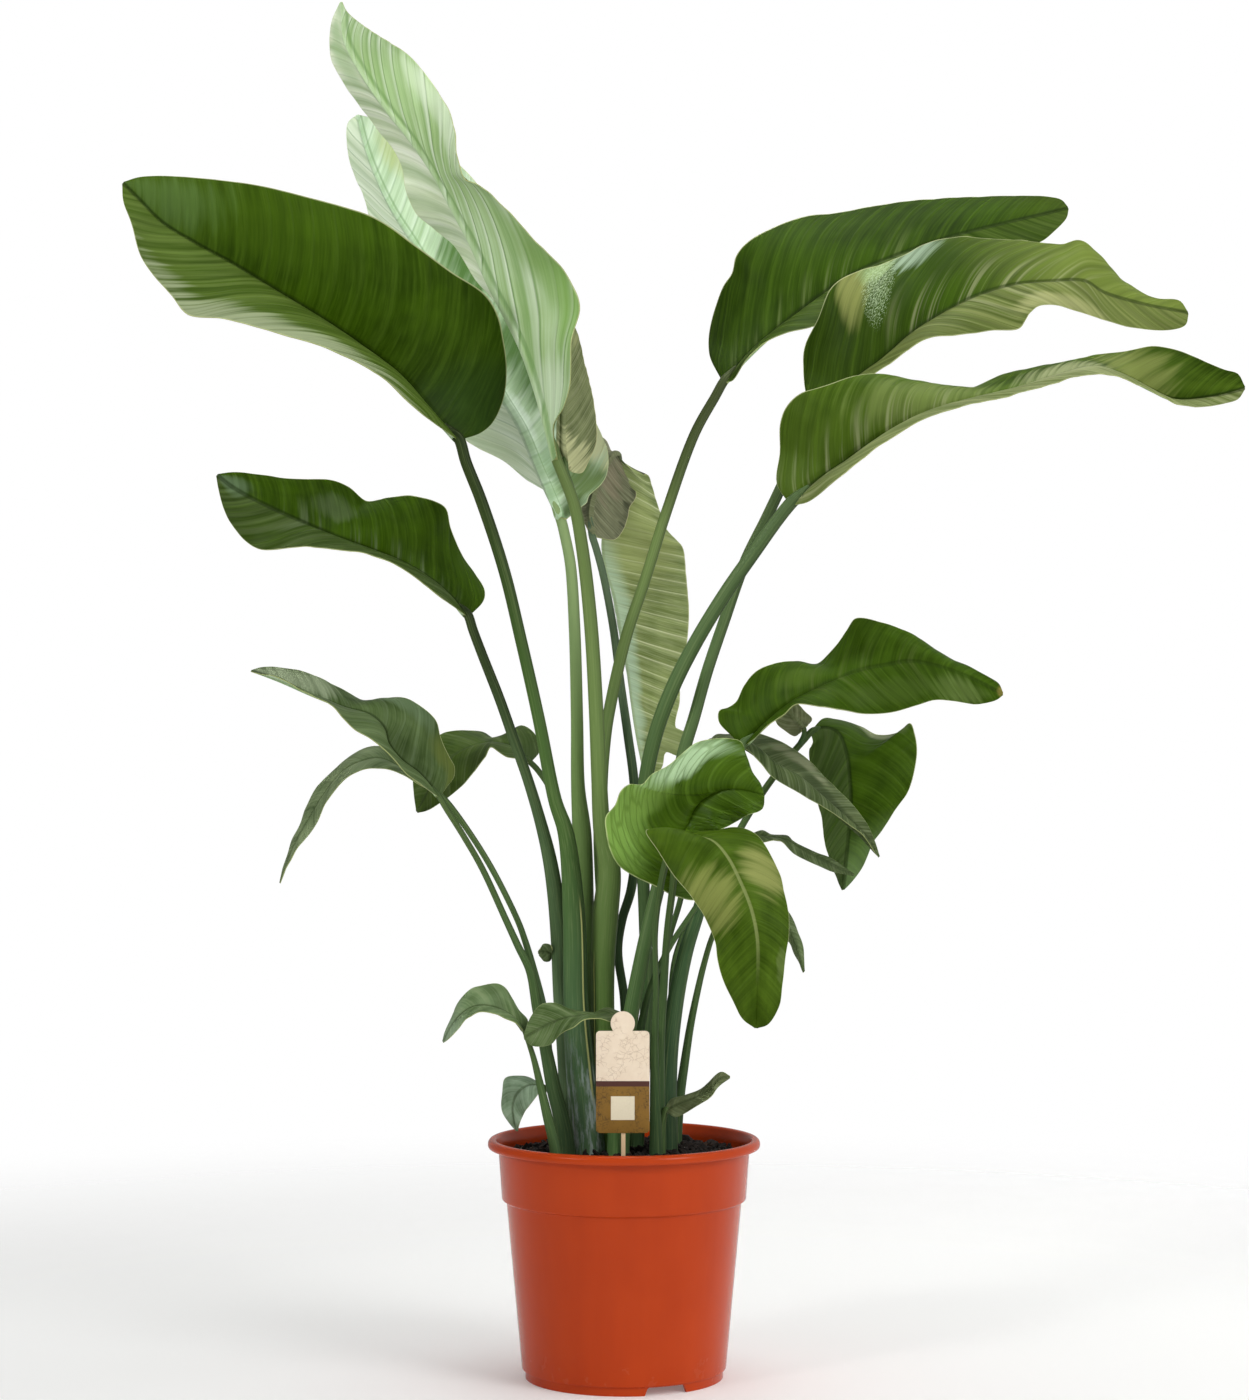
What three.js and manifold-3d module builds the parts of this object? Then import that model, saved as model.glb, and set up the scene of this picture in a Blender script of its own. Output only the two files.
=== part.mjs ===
// A giant white bird of paradise in its nursery pot. Millimetres, Z up, the pot's axis on Z and its foot on z = 0.
// The leaves are set out as [across, height] on the upright plane through the pot's axis, seen level from a point
// in front, and each is carried back (+) or forward (-) of that plane along its sight lines by its depth.
import * as THREE from "three";
import { mergeVertices } from "three/addons/utils/BufferGeometryUtils.js";
import Module from "manifold-3d";

const sightDistance = 3300;
const sightHeight = 676;

const gap = 0.3; // clear space left between pieces that touch
const bladeThickness = 1.2;
const stalkDepthShare = 0.82; // stalks are a little flatter from front to back
const plantFoot = 190; // the stalks reach down to here inside the soil

const potSegments = 48;
const rimRadius = 136;
const rimTop = 238;
const rimHeight = 9;
const mouthRadius = 127.5;
const collarTopRadius = 125.5;
const collarFootRadius = 122;
const collarFoot = 178;
const wallTopRadius = 117.5;
const wallFootRadius = 102;
const wallFoot = 9.5;
const footRadius = 99;
const footWidth = 4;
const wallThickness = 2;
const floorUnderside = 8.5;
const floorThickness = 3;
const bossRadius = 18;
const notchWidth = 46;
const notchTopWidth = 38;
const notchAngles = [25, 145, 265]; // degrees round the foot ring from the front

const soilTop = 222;
const soilMound = 4;
const soilSegments = 32;

const cardDepth = -96;
const cardWidth = 52;
const cardThickness = 1;
const cardBottom = 255.5;
const cardTop = 354.7;
const cardCorner = 4;
const headRadius = 11.8;
const headHeight = 362;
const stickWidth = 4.2;
const stickThickness = 2;
const stickTop = 340;
const stickFoot = 150;
const cardAcross = -1.2;

// Each leaf: the stalk as [across, height, depth, radius] from the soil up, the rib as [across, height, depth] from
// the stalk to the tip, the two edges as [across, height], right and left as seen looking along the growth. half is
// the true width of the right and the left half, leans tells whether a half leans away (1) or forward (-1).
const leaves = [
  {
    name: "leaf_01", shoot: "tall", face: "upper", half: [124, 110], leans: [1, -1], waves: 3, wave: 5, bow: [0.07, 0.05],
    stalk: [[-36, 230, -14, 17], [-43, 301, -15, 15], [-48, 369, -16, 12.5], [-50, 461, -18, 11.5], [-58, 542, -22, 8],
      [-69, 576, -26, 6.8], [-85, 656, -34, 6.1], [-103, 736, -42, 5.9], [-120, 806, -48, 5.8], [-143, 876, -52, 5.8], [-158, 914, -54, 5.6]],
    rib: [[-165, 937, -55], [-193, 966, -62], [-224, 1001, -70], [-268, 1035, -80], [-305, 1060, -88], [-349, 1087, -98], [-390, 1112, -106],
      [-430, 1134, -114], [-462, 1154, -120], [-484, 1176, -124], [-501, 1193, -126]],
    right: [[-165, 937], [-146, 943], [-133, 954], [-122, 979], [-119, 1007], [-121, 1032], [-127, 1060], [-140, 1081], [-174, 1104],
      [-208, 1129], [-249, 1157], [-321, 1179], [-368, 1190], [-415, 1196], [-455, 1199], [-485, 1198], [-501, 1193]],
    left: [[-165, 937], [-193, 957], [-212, 974], [-236, 996], [-274, 1017], [-312, 1034], [-377, 1053], [-405, 1058], [-436, 1062],
      [-452, 1082], [-471, 1104], [-483, 1123], [-491, 1151], [-500, 1176], [-501, 1193]],
  },
  {
    name: "leaf_02", shoot: "tall", face: "under", half: [94, 90], leans: [-1, 1], waves: 4, wave: 4, bow: [0.05, 0.05],
    stalk: [[-18, 230, -2, 13.5], [-20, 300, -2, 12.2], [-21, 374, -2, 11.2], [-21, 415, -2, 12], [-18.5, 461, -2, 13.2],
      [-15, 507, -2, 11.8], [-22, 548, -2, 8.8], [-25, 600, -2, 7.8], [-28, 668, -2, 7.3], [-33, 750, -4, 6.9], [-41, 823, -6, 6.4],
      [-50, 872, -8, 6], [-61, 901, -10, 5.6]],
    rib: [[-67, 916, -11], [-72, 937, -13], [-84, 981, -17], [-99, 1024, -22], [-114, 1055, -26], [-133, 1091, -30], [-151, 1131, -34],
      [-169, 1165, -38], [-191, 1205, -42], [-212, 1235, -46], [-237, 1266, -50], [-261, 1300, -56], [-280, 1336, -62], [-283, 1374, -70]],
    right: [[-67, 916], [-71, 950], [-62, 967], [-54, 992], [-52, 1037], [-45, 1067], [-50, 1085], [-62, 1107], [-90, 1137], [-123, 1172],
      [-148, 1191], [-162, 1200], [-166, 1217], [-169, 1244], [-174, 1263], [-185, 1281], [-203, 1306], [-218, 1322], [-243, 1338],
      [-264, 1352], [-278, 1364], [-283, 1374]],
    left: [[-67, 916], [-76, 938], [-80, 954], [-93, 1000], [-108, 1039], [-123, 1070], [-145, 1094], [-166, 1125], [-188, 1146],
      [-206, 1162], [-215, 1180], [-220, 1205], [-228, 1223], [-252, 1254], [-270, 1281], [-286, 1306], [-292, 1321], [-292, 1352], [-283, 1374]],
  },
  {
    name: "leaf_03", shoot: "tall", face: "under", half: [66, 86], leans: [1, 1], waves: 3, wave: 4, bow: [0.05, 0.05],
    stalk: [[-38, 230, 15, 11], [-40, 340, 19, 10.5], [-40, 438, 22, 10.5], [-42, 540, 22, 10], [-46, 590, 22, 6.8],
      [-47, 658, 24, 6.2], [-49.5, 750, 30, 5.9], [-53.5, 811, 38, 5.6], [-59, 840, 44, 5.4]],
    rib: [[-63, 856, 48], [-74, 882, 56], [-84, 905, 66], [-102, 948, 84], [-120, 978, 96], [-150, 1030, 112], [-182, 1086, 124],
      [-209, 1131, 132], [-231, 1165, 138], [-246, 1195, 142], [-258, 1226, 146], [-267, 1261, 150]],
    right: [[-63, 856], [-48, 868], [-40, 874], [-38, 880], [-25, 892], [-19, 903], [-18, 924], [-24, 940], [-40, 975], [-62, 1040],
      [-95, 1105], [-128, 1160], [-148, 1192], [-166, 1211], [-200, 1234], [-240, 1254], [-267, 1261]],
    left: [[-63, 856], [-66, 876], [-96, 898], [-120, 917], [-145, 929], [-165, 942], [-190, 970], [-215, 1015], [-234, 1060], [-247, 1110],
      [-254, 1163], [-258, 1180], [-270, 1205], [-276, 1232], [-275, 1254], [-267, 1261]],
  },
  {
    name: "leaf_04", shoot: "tall", face: "under", half: [40, 6], leans: [1, 0], waves: 2, wave: 2, bow: [0.06, 0], small: true,
    stalk: [[-50, 876, -7, 4], [-54, 892, -5, 3.4], [-58, 905, -5, 3]],
    rib: [[-59, 914, -4], [-61, 932, -2], [-61, 950, 2], [-60, 975, 8], [-57, 1005, 12], [-54, 1037, 15], [-56, 1064, 17]],
    right: [[-59, 914], [-56, 908], [-50, 905], [-43, 905], [-36, 917], [-29, 934], [-29, 949], [-30, 964], [-33, 984], [-37, 1000],
      [-42, 1021], [-48, 1043], [-56, 1064]],
    left: [[-59, 914], [-65, 928], [-66, 950], [-64, 975], [-60, 1005], [-57, 1037], [-56, 1064]],
  },
  {
    name: "leaf_05", shoot: "tall", face: "under", half: [78, 60], leans: [1, 1], waves: 3, wave: 4, bow: [0.06, 0.05],
    stalk: [[-4, 230, 11, 9.5], [0, 300, 18, 6.4], [2, 340, 23, 5.2], [0, 380, 26, 4.4], [-6, 425, 28, 4.4], [-2, 456, 29, 4.6], [7, 486, 30, 4.8], [12, 530, 33, 4.8],
      [10, 594, 38, 4.8], [4, 640, 46, 4.6], [-3, 689, 54, 4.3], [-11, 750, 66, 4.1], [-21, 802, 80, 3.9], [-28, 828, 90, 3.8]],
    rib: [[-32, 841, 95], [-34, 866, 101], [-26, 896, 109], [-10, 922, 126], [-4, 914, 148], [-14, 880, 160], [-22, 837, 168], [-20, 810, 171],
      [-11, 781, 173], [-3, 738, 174], [3, 704, 174], [7, 673, 172], [12, 640, 168], [22, 591, 162]],
    right: [[-32, 841], [-12, 838], [-3, 847], [2, 860], [4, 870], [10, 880], [10, 889], [20, 903], [35, 866], [41, 848], [57, 830],
      [61, 802], [64, 765], [61, 725], [55, 698], [55, 676], [51, 649], [60, 643], [54, 621], [41, 624], [37, 609], [22, 591]],
    left: [[-32, 841], [-40, 858], [-43, 867], [-42, 890], [-34, 918], [-22, 938], [-12, 925], [-8, 890], [-14, 840], [-8, 790],
      [0, 740], [8, 700], [14, 660], [18, 625], [22, 591]],
  },
  {
    name: "leaf_06", shoot: "tall", face: "upper", half: [46, 92], leans: [-1, 1], waves: 3, wave: 4, bow: [0.05, 0.06],
    stalk: [[-19, 468, 14, 8.5], [-23, 530, 18, 7.5], [-23, 590, 22, 6.8], [-20, 628, 24, 6.2], [-16, 658, 26, 6], [1, 735, 36, 5.9],
      [21, 796, 50, 5.7], [43, 866, 72, 5.5], [71, 943, 100, 5.2], [91, 979, 114, 5]],
    rib: [[100, 995, 121], [120, 1018, 134], [146, 1042, 147], [191, 1077, 168], [234, 1105, 186], [286, 1126, 204], [321, 1138, 216],
      [380, 1153, 236], [420, 1162, 250], [444, 1168, 258]],
    right: [[100, 995], [106, 996], [121, 1017], [142, 1035], [160, 1044], [191, 1052], [240, 1075], [300, 1100], [360, 1118],
      [416, 1135], [430, 1146], [442, 1159], [444, 1168]],
    left: [[100, 995], [88, 1018], [86, 1036], [90, 1060], [100, 1088], [109, 1102], [113, 1119], [125, 1133], [174, 1157], [216, 1163],
      [272, 1172], [321, 1177], [367, 1179], [426, 1178], [438, 1175], [444, 1168]],
  },
  {
    name: "leaf_07", shoot: "front", face: "upper", half: [52, 88], leans: [-1, 1], waves: 4, wave: 5, bow: [0.05, 0.06],
    stalk: [[-6, 230, -34, 11], [-2, 300, -33, 9.4], [7, 362, -32, 7.8], [17, 414, -30, 7.5], [26, 455, -26, 7.2], [40, 515, -18, 6.8],
      [59, 621, 0, 6.4], [70, 658, 8, 6.1], [83, 704, 18, 5.9], [99.5, 753, 28, 5.8], [121, 814, 40, 5.8], [142, 857, 46, 5.7], [158, 891, 50, 5.6],
      [178, 935, 54, 5.4]],
    rib: [[192, 962, 58], [212, 982, 62], [234, 1000, 66], [258, 1017, 70], [286, 1042, 76], [321, 1065, 84], [356, 1082, 92],
      [391, 1092, 100], [426, 1095, 108], [461, 1095, 116], [479, 1084, 120], [516, 1073, 130], [564, 1063, 142]],
    right: [[192, 962], [214, 974], [236, 994], [258, 1011], [286, 1028], [304, 1038], [339, 1043], [367, 1047], [395, 1048], [405, 1063],
      [416, 1071], [433, 1072], [454, 1066], [479, 1057], [510, 1049], [545, 1047], [561, 1052], [564, 1063]],
    left: [[192, 962], [184, 982], [181, 1005], [182, 1028], [195, 1056], [209, 1088], [230, 1102], [258, 1112], [283, 1121], [300, 1130],
      [328, 1137], [374, 1137], [409, 1134], [437, 1130], [454, 1134], [465, 1130], [482, 1114], [503, 1093], [531, 1077], [556, 1074], [564, 1063]],
  },
  {
    name: "leaf_08", shoot: "tall", face: "upper", half: [66, 78], leans: [-1, 1], waves: 3, wave: 4, bow: [0.05, 0.06],
    stalk: [[11, 230, 15, 9.5], [18, 300, 14, 7.6], [23, 386, 12, 6.2], [21, 446, 12, 6], [19.5, 491, 12, 6.2], [17, 540, 9, 6.8], [20, 585, 4, 7.3],
      [31, 640, -4, 7.5], [49, 689, -12, 7.4], [73, 736, -19, 7.2], [103, 785, -25, 7], [131, 825, -30, 6.8], [154, 857, -33, 6.5]],
    rib: [[167, 873, -35], [191, 895, -40], [223, 916, -46], [258, 940, -54], [300, 962, -64], [345, 976, -74], [400, 990, -86],
      [440, 1003, -96], [470, 1010, -104], [496, 1003, -112], [528, 986, -122], [549, 977, -128], [590, 980, -140], [621, 988, -148]],
    right: [[167, 873], [181, 876], [216, 902], [251, 930], [286, 952], [321, 965], [377, 978], [426, 993], [465, 1002], [496, 998],
      [531, 983], [559, 972], [577, 971], [601, 974], [614, 978], [621, 988]],
    left: [[167, 873], [156, 891], [158, 923], [158, 951], [164, 968], [177, 981], [202, 989], [230, 999], [258, 1001], [286, 997],
      [314, 991], [337, 986], [358, 992], [381, 1002], [409, 1007], [444, 1014], [479, 1022], [510, 1026], [531, 1029], [556, 1024],
      [584, 1012], [601, 1005], [614, 1001], [621, 988]],
  },
  {
    name: "leaf_09", shoot: "tall", face: "upper", half: [74, 56], leans: [1, -1], waves: 3, wave: 5, bow: [0.06, 0.05],
    stalk: [[-52, 230, 2, 11], [-57, 324, 2, 10], [-61, 381, 2, 10], [-64, 438, 0, 9.5], [-69, 484, 0, 8], [-75, 520, -2, 7],
      [-84, 556, -4, 5.8], [-96, 596, -6, 5.3], [-110, 636, -8, 5.2], [-124, 676, -10, 5.1], [-142, 722, -12, 4.9], [-151, 746, -13, 4.8]],
    rib: [[-156, 761, -14], [-180, 787, -18], [-212, 809, -24], [-249, 825, -32], [-280, 837, -38], [-321, 854, -46], [-362, 873, -54],
      [-390, 888, -60], [-407, 901, -64]],
    right: [[-156, 761], [-143, 774], [-141, 784], [-150, 802], [-162, 820], [-174, 848], [-179, 867], [-190, 874], [-212, 879], [-236, 878],
      [-258, 875], [-277, 889], [-293, 895], [-330, 896], [-355, 899], [-390, 903], [-407, 901]],
    left: [[-156, 761], [-177, 776], [-199, 793], [-230, 812], [-262, 824], [-293, 829], [-330, 829], [-365, 828], [-387, 846],
      [-399, 867], [-405, 889], [-407, 901]],
  },
  {
    name: "leaf_10", shoot: "left", face: "upper", half: [58, 48], leans: [1, -1], waves: 3, wave: 4, bow: [0.06, 0.05],
    stalk: [[-58, 230, -40, 9], [-62, 255, -40, 8], [-70, 287, -41, 7.5], [-79, 331, -42, 6], [-87, 368, -44, 5], [-94, 405, -46, 4.2],
      [-106, 430, -49, 3.6], [-118, 456, -52, 3.3], [-142, 508, -58, 3.1], [-161, 541, -62, 3], [-178, 568, -66, 3]],
    rib: [[-185, 580, -68], [-204, 602, -74], [-225, 618, -80], [-236, 633, -84], [-240, 648, -88], [-253, 661, -92], [-280, 669, -100],
      [-312, 681, -110], [-345, 695, -120], [-373, 705, -128]],
    right: [[-185, 580], [-178, 590], [-172, 598], [-171, 608], [-176, 618], [-184, 639], [-188, 654], [-198, 665], [-219, 676], [-240, 678],
      [-259, 676], [-289, 690], [-317, 702], [-338, 708], [-363, 708], [-373, 705]],
    left: [[-185, 580], [-191, 584], [-216, 603], [-243, 630], [-271, 650], [-292, 669], [-323, 687], [-344, 699], [-363, 702], [-373, 705]],
  },
  {
    name: "leaf_11", shoot: "left", face: "upper", half: [26, 22], leans: [1, -1], waves: 2, wave: 3, bow: [0.06, 0.05], small: true,
    stalk: [[-76, 318, -40, 5], [-80, 362, -38, 4.4], [-92, 412, -36, 3.6], [-99.5, 437, -35, 3.2], [-106.5, 456, -34, 3], [-132.5, 508, -30, 3],
      [-157, 547, -28, 3], [-177, 574, -26, 3]],
    rib: [[-188, 585, -25], [-210, 599, -24], [-228, 611, -24], [-245, 618, -25], [-265, 614, -28], [-282, 604, -32], [-300, 582, -36],
      [-314, 559, -40], [-325, 540, -43], [-334, 520, -46], [-344, 493, -50]],
    right: [[-188, 585], [-200, 602], [-216, 616], [-243, 630], [-265, 625], [-280, 615], [-302, 593], [-317, 569], [-323, 553],
      [-332, 535], [-340, 511], [-344, 493]],
    left: [[-188, 585], [-204, 592], [-222, 603], [-240, 609], [-265, 605], [-283, 593], [-299, 572], [-311, 549], [-326, 529],
      [-338, 508], [-344, 493]],
  },
  {
    name: "leaf_12", shoot: "tall", face: "upper", half: [40, 44], leans: [1, -1], waves: 2, wave: 4, bow: [0.06, 0.05], small: true,
    stalk: [[-45, 470, 26, 6], [-48, 510, 30, 4.4], [-54, 546, 34, 3.6], [-66, 574, 37, 3.2], [-79, 596, 39, 3], [-88, 608, 40, 3]],
    rib: [[-94, 614, 41], [-106, 627, 43], [-124, 633, 46], [-146, 632, 51], [-168, 622, 57], [-188, 598, 61], [-207, 564, 62]],
    right: [[-94, 614], [-86, 624], [-90, 640], [-104, 650], [-118, 641], [-130, 638], [-142, 644], [-170, 644], [-182, 641],
      [-200, 625], [-210, 597], [-207, 564]],
    left: [[-94, 614], [-102, 617], [-116, 620], [-133, 630], [-139, 618], [-155, 599], [-179, 578], [-198, 566], [-207, 564]],
  },
  {
    name: "leaf_13", shoot: "low", face: "upper", half: [42, 74], leans: [-0.3, 1], waves: 3, wave: 5, bow: [0.08, 0.12], peak: 0.45,
    stalk: [[36, 230, -24, 6], [36, 330, -28, 5], [40, 395, -35, 4], [43.5, 446, -52, 3.5], [49, 491, -70, 3.6], [52, 524, -72, 4]],
    rib: [[53, 538, -59], [58, 553, -62], [71, 571, -70], [84, 580, -76], [100, 586, -82], [118, 586, -86], [140, 581, -88]],
    right: [[53, 538], [66, 539], [80, 540], [90, 544], [107, 552], [123, 562], [135, 566], [139, 570], [140, 581]],
    left: [[53, 538], [82, 512], [74, 479], [50, 482], [32, 491], [9, 502], [-4, 511], [-12, 525], [-16, 542], [-17, 558], [-8, 570],
      [-2, 585], [7, 592], [19, 592], [29, 602], [45, 610], [58, 621], [72, 632], [90, 636], [107, 636], [117, 633], [123, 619],
      [129, 603], [137, 591], [140, 581]],
  },
  {
    name: "leaf_14", shoot: "low", face: "upper", half: [52, 50], leans: [1, 1], waves: 3, wave: 4, bow: [0.08, 0.08], peak: 0.5,
    stalk: [[32, 230, -37.5, 6.8], [30.5, 325, -52, 3.8], [32, 389, -64, 3], [31, 439, -78, 2.9], [34, 473, -90, 3.1], [41, 510, -104, 3.6], [47, 526, -110, 3.9]],
    rib: [[54, 538, -116], [68, 540, -122], [82, 538, -128], [92, 533, -132], [105, 517, -138], [117, 493, -143], [127, 468, -146],
      [133, 440, -147], [134, 415, -146], [133, 385, -142], [132, 348, -134]],
    right: [[54, 538], [38, 546], [24, 545], [37, 524], [51, 501], [66, 483], [78, 466], [88, 446], [93, 432], [95, 415], [100, 397],
      [111, 374], [119, 358], [132, 348]],
    left: [[54, 538], [72, 543], [90, 545], [104, 548], [117, 547], [131, 540], [145, 521], [156, 497], [163, 464], [163, 442],
      [160, 415], [157, 391], [154, 370], [143, 352], [132, 348]],
  },
  {
    name: "leaf_15", shoot: "right", face: "upper", half: [48, 56], leans: [-1, 1], waves: 3, wave: 4, bow: [0.05, 0.07],
    stalk: [[43, 230, 6, 11], [43, 286, 6, 10], [45, 325, 6, 9.4], [52, 378, 5, 8.4], [62, 425, 3, 7.4], [76, 470, 0, 6.4],
      [88, 520, -3, 5.8], [100, 571, -7, 5.2], [112, 614, -12, 4.8]],
    rib: [[119, 632, -15], [138, 650, -18], [158, 667, -22], [178, 680, -27], [209, 696, -34], [235, 706, -40], [260, 711, -46],
      [288, 715, -52], [322, 708, -60], [350, 697, -66], [379, 682, -74]],
    right: [[119, 632], [129, 639], [141, 650], [158, 662], [172, 673], [198, 670], [223, 665], [245, 663], [268, 665], [290, 671],
      [311, 677], [329, 676], [351, 673], [372, 677], [379, 682]],
    left: [[119, 632], [109, 641], [97, 654], [97, 665], [105, 668], [113, 674], [121, 690], [133, 703], [154, 712], [174, 714], [194, 712],
      [211, 729], [223, 745], [231, 756], [239, 757], [256, 753], [280, 745], [296, 736], [317, 723], [341, 710], [366, 697],
      [375, 691], [379, 682]],
  },
  {
    name: "leaf_16", shoot: "front", face: "upper", half: [44, 68], leans: [1, 1], waves: 3, wave: 4, bow: [0.06, 0.06],
    stalk: [[-2, 230, -26, 7], [7, 300, -21, 5], [17, 350, -18, 4.1], [27, 389, -16, 3.3], [45, 428, -15, 2.9], [74, 472, -16, 2.9],
      [99, 514, -6, 3.2], [119, 552, 30, 3.5], [139, 584, 48, 3.5], [158, 610, 53, 3.4], [172, 627, 56, 3.3], [180, 636, 57, 3.3]],
    rib: [[188, 645, 58], [198, 649, 58], [208, 648, 59], [216, 642, 60], [223, 622, 62], [226, 597, 64], [227, 574, 65], [225, 545, 65],
      [222, 515, 64], [219, 486, 62]],
    right: [[188, 645], [190, 636], [187, 628], [187, 614], [191, 596], [198, 560], [202, 535], [209, 511], [215, 495], [219, 486]],
    left: [[188, 645], [198, 655], [212, 655], [227, 652], [237, 648], [251, 640], [272, 643], [285, 652], [290, 641], [292, 625], [289, 603],
      [282, 582], [270, 566], [260, 550], [250, 535], [244, 523], [235, 505], [225, 492], [219, 486]],
  },
  {
    name: "leaf_17", shoot: "right", face: "upper", half: [26, 30], leans: [-1, 1], waves: 2, wave: 2, bow: [0.3, 0.06],
    stalk: [[38, 230, 18, 6], [34, 330, 26, 4], [37, 401, 27, 3.3], [46, 441, 25, 3], [57, 479, 22, 3],
      [68, 550, 20, 3.2], [78, 616, 19, 3.4]],
    rib: [[86, 634, 19], [104, 635, 19], [120, 630, 18], [147, 612, 15], [173, 600, 12], [192, 582, 9], [210, 564, 7], [235, 541, 3], [255, 519, 0]],
    right: [[86, 634], [104, 630], [121, 627], [137, 614], [148, 601], [178, 582], [214, 560], [238, 543], [255, 519]],
    left: [[86, 634], [92, 640], [102, 641], [133, 642], [154, 635], [172, 624], [190, 609], [211, 588], [227, 572], [241, 554], [250, 535], [255, 519]],
  },
  {
    name: "leaf_18", shoot: "right", face: "upper", half: [9, 9], leans: [-1, 1], waves: 2, wave: 1.5, bow: [0.1, 0.1], small: true,
    stalk: [[44, 230, 25, 5.5], [47, 330, 30, 3.6], [52, 420, 32, 3.3], [80, 480, 34, 3], [108, 524, 34, 2.8]],
    rib: [[122, 537, 33], [136, 541, 33], [150, 538, 33], [165, 535, 32], [182, 525, 31], [207, 512, 29], [230, 501, 27]],
    right: [[122, 537], [137, 535], [157, 535], [170, 523], [188, 514], [211, 505], [230, 501]],
    left: [[122, 537], [138, 545], [147, 541], [164, 539], [168, 534], [207, 516], [230, 501]],
  },
  {
    name: "leaf_19", shoot: "back", face: "upper", half: [16, 16], leans: [1, 1], waves: 2, wave: 2, bow: [0.06, 0.06], small: true,
    stalk: [[52, 230, 62, 6.5], [56, 281, 60, 5], [60, 309, 58, 4.6], [66, 348, 54, 3.9], [72, 378, 50, 3.5], [80, 412, 44, 3.1],
      [89, 441, 36, 2.8], [102, 466, 24, 2.6]],
    rib: [[114, 480, 12], [130, 482, 4], [148, 472, -4], [162, 454, -10], [172, 432, -14], [180, 404, -18]],
    right: [[114, 480], [124, 470], [138, 458], [152, 446], [165, 436], [172, 422], [180, 404]],
    left: [[114, 480], [126, 489], [145, 486], [162, 466], [172, 448], [178, 427], [180, 404]],
  },
  {
    name: "leaf_20", shoot: "small", face: "upper", half: [26, 22], leans: [1, -1], waves: 2, wave: 2.5, bow: [0.06, 0.06], small: true,
    stalk: [[-68, 230, -70, 6], [-77, 262, -70, 4.8], [-84, 292, -71, 3.8], [-91, 320, -72, 2.8], [-97, 338, -72, 2.4]],
    rib: [[-100, 346, -73], [-112, 360, -76], [-128, 368, -80], [-146, 370, -86], [-160, 364, -92], [-172, 351, -97], [-181, 334, -102]],
    right: [[-100, 346], [-97, 355], [-106, 366], [-112, 377], [-119, 388], [-127, 392], [-143, 389], [-153, 386], [-165, 374], [-172, 359], [-178, 345], [-181, 334]],
    left: [[-100, 346], [-108, 354], [-119, 359], [-128, 363], [-143, 364], [-153, 361], [-159, 358], [-166, 348], [-174, 339], [-181, 334]],
  },
  {
    name: "leaf_21", shoot: "front", face: "upper", half: [20, 22], leans: [1, -1], waves: 2, wave: 2, bow: [0.06, 0.06], small: true,
    stalk: [[0, 230, -42, 5.6], [5, 280, -53, 4.2], [10, 330, -60, 3.6], [8, 352, -64, 3]],
    rib: [[1, 361, -68], [-18, 362, -73], [-38, 361, -77], [-58, 358, -80], [-75, 352, -82], [-90, 344, -84], [-100, 338, -85]],
    right: [[1, 361], [-18, 367], [-30, 363], [-40, 364], [-53, 367], [-65, 371], [-77, 372], [-83, 370], [-91, 361], [-97, 349], [-100, 338]],
    left: [[1, 361], [-12, 355], [-24, 358], [-40, 356], [-50, 350], [-59, 346], [-66, 341], [-72, 334], [-80, 331], [-91, 331], [-96, 334], [-100, 338]],
  },
  {
    name: "leaf_22", shoot: "left", face: "upper", half: [18, 18], leans: [1, -1], waves: 2, wave: 2, bow: [0.06, 0.06], small: true,
    stalk: [[-62, 246, -38, 4.5], [-67, 268, -36, 3.6], [-74, 284, -36, 2.8], [-80, 289, -37, 2.4]],
    rib: [[-85, 291, -38], [-97, 290, -42], [-107, 282, -46], [-111, 270, -48], [-110, 258, -48], [-107, 245, -48]],
    right: [[-85, 291], [-91, 296], [-102, 299], [-118, 297], [-121, 280], [-121, 267], [-115, 254], [-107, 245]],
    left: [[-85, 291], [-86, 285], [-91, 277], [-100, 265], [-106, 251], [-107, 245]],
  },
  {
    name: "leaf_23", shoot: "low", face: "upper", half: [12, 12], leans: [-1, 1], waves: 2, wave: 1.5, bow: [0.06, 0.06], small: true,
    stalk: [[37, 230, -32, 5], [39, 256, -32, 3.4]],
    rib: [[42, 266, -31], [56, 273, -34], [72, 279, -38], [86, 287, -42], [97, 298, -46], [106, 299, -49]],
    right: [[42, 266], [51, 261], [71, 270], [87, 280], [94, 290], [106, 299]],
    left: [[42, 266], [48, 276], [74, 284], [84, 292], [97, 303], [106, 299]],
  },
  {
    name: "leaf_24", shoot: "tall", face: "upper", half: [8, 8], leans: [-1, 1], waves: 1, wave: 0.6, bow: [0.06, 0.06], small: true,
    stalk: [[-62, 404, 2, 4], [-66, 412, 1, 3], [-69, 418, 0, 2]],
    rib: [[-71, 422, -1], [-76, 424, -3], [-81, 424, -5], [-86, 424, -7]],
    right: [[-71, 422], [-74, 430], [-80, 431], [-86, 424]],
    left: [[-71, 422], [-74, 416], [-80, 416], [-86, 424]],
  },
  {
    name: "leaf_25", shoot: "front", face: "under", half: [14, 16], leans: [1, 1], waves: 1, wave: 1, bow: [0.06, 0.06], small: true,
    stalk: [[176, 632, 56, 3], [180, 641, 52, 2.6]],
    rib: [[180, 647, 48], [175, 653, 46], [168, 660, 44], [160, 668, 42]],
    right: [[180, 647], [187, 656], [180, 664], [171, 672], [160, 668]],
    left: [[180, 647], [172, 641], [162, 646], [154, 653], [152, 661], [160, 668]],
  },
];

const wasm = await Module();
wasm.setup();

const eye = new THREE.Vector3(0, -sightDistance, sightHeight);

// Points on the upright plane to points in space
function place(across, height, depth) {
  const spread = 1 + depth / sightDistance;
  return new THREE.Vector3(across * spread, depth, sightHeight + (height - sightHeight) * spread);
}

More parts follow.
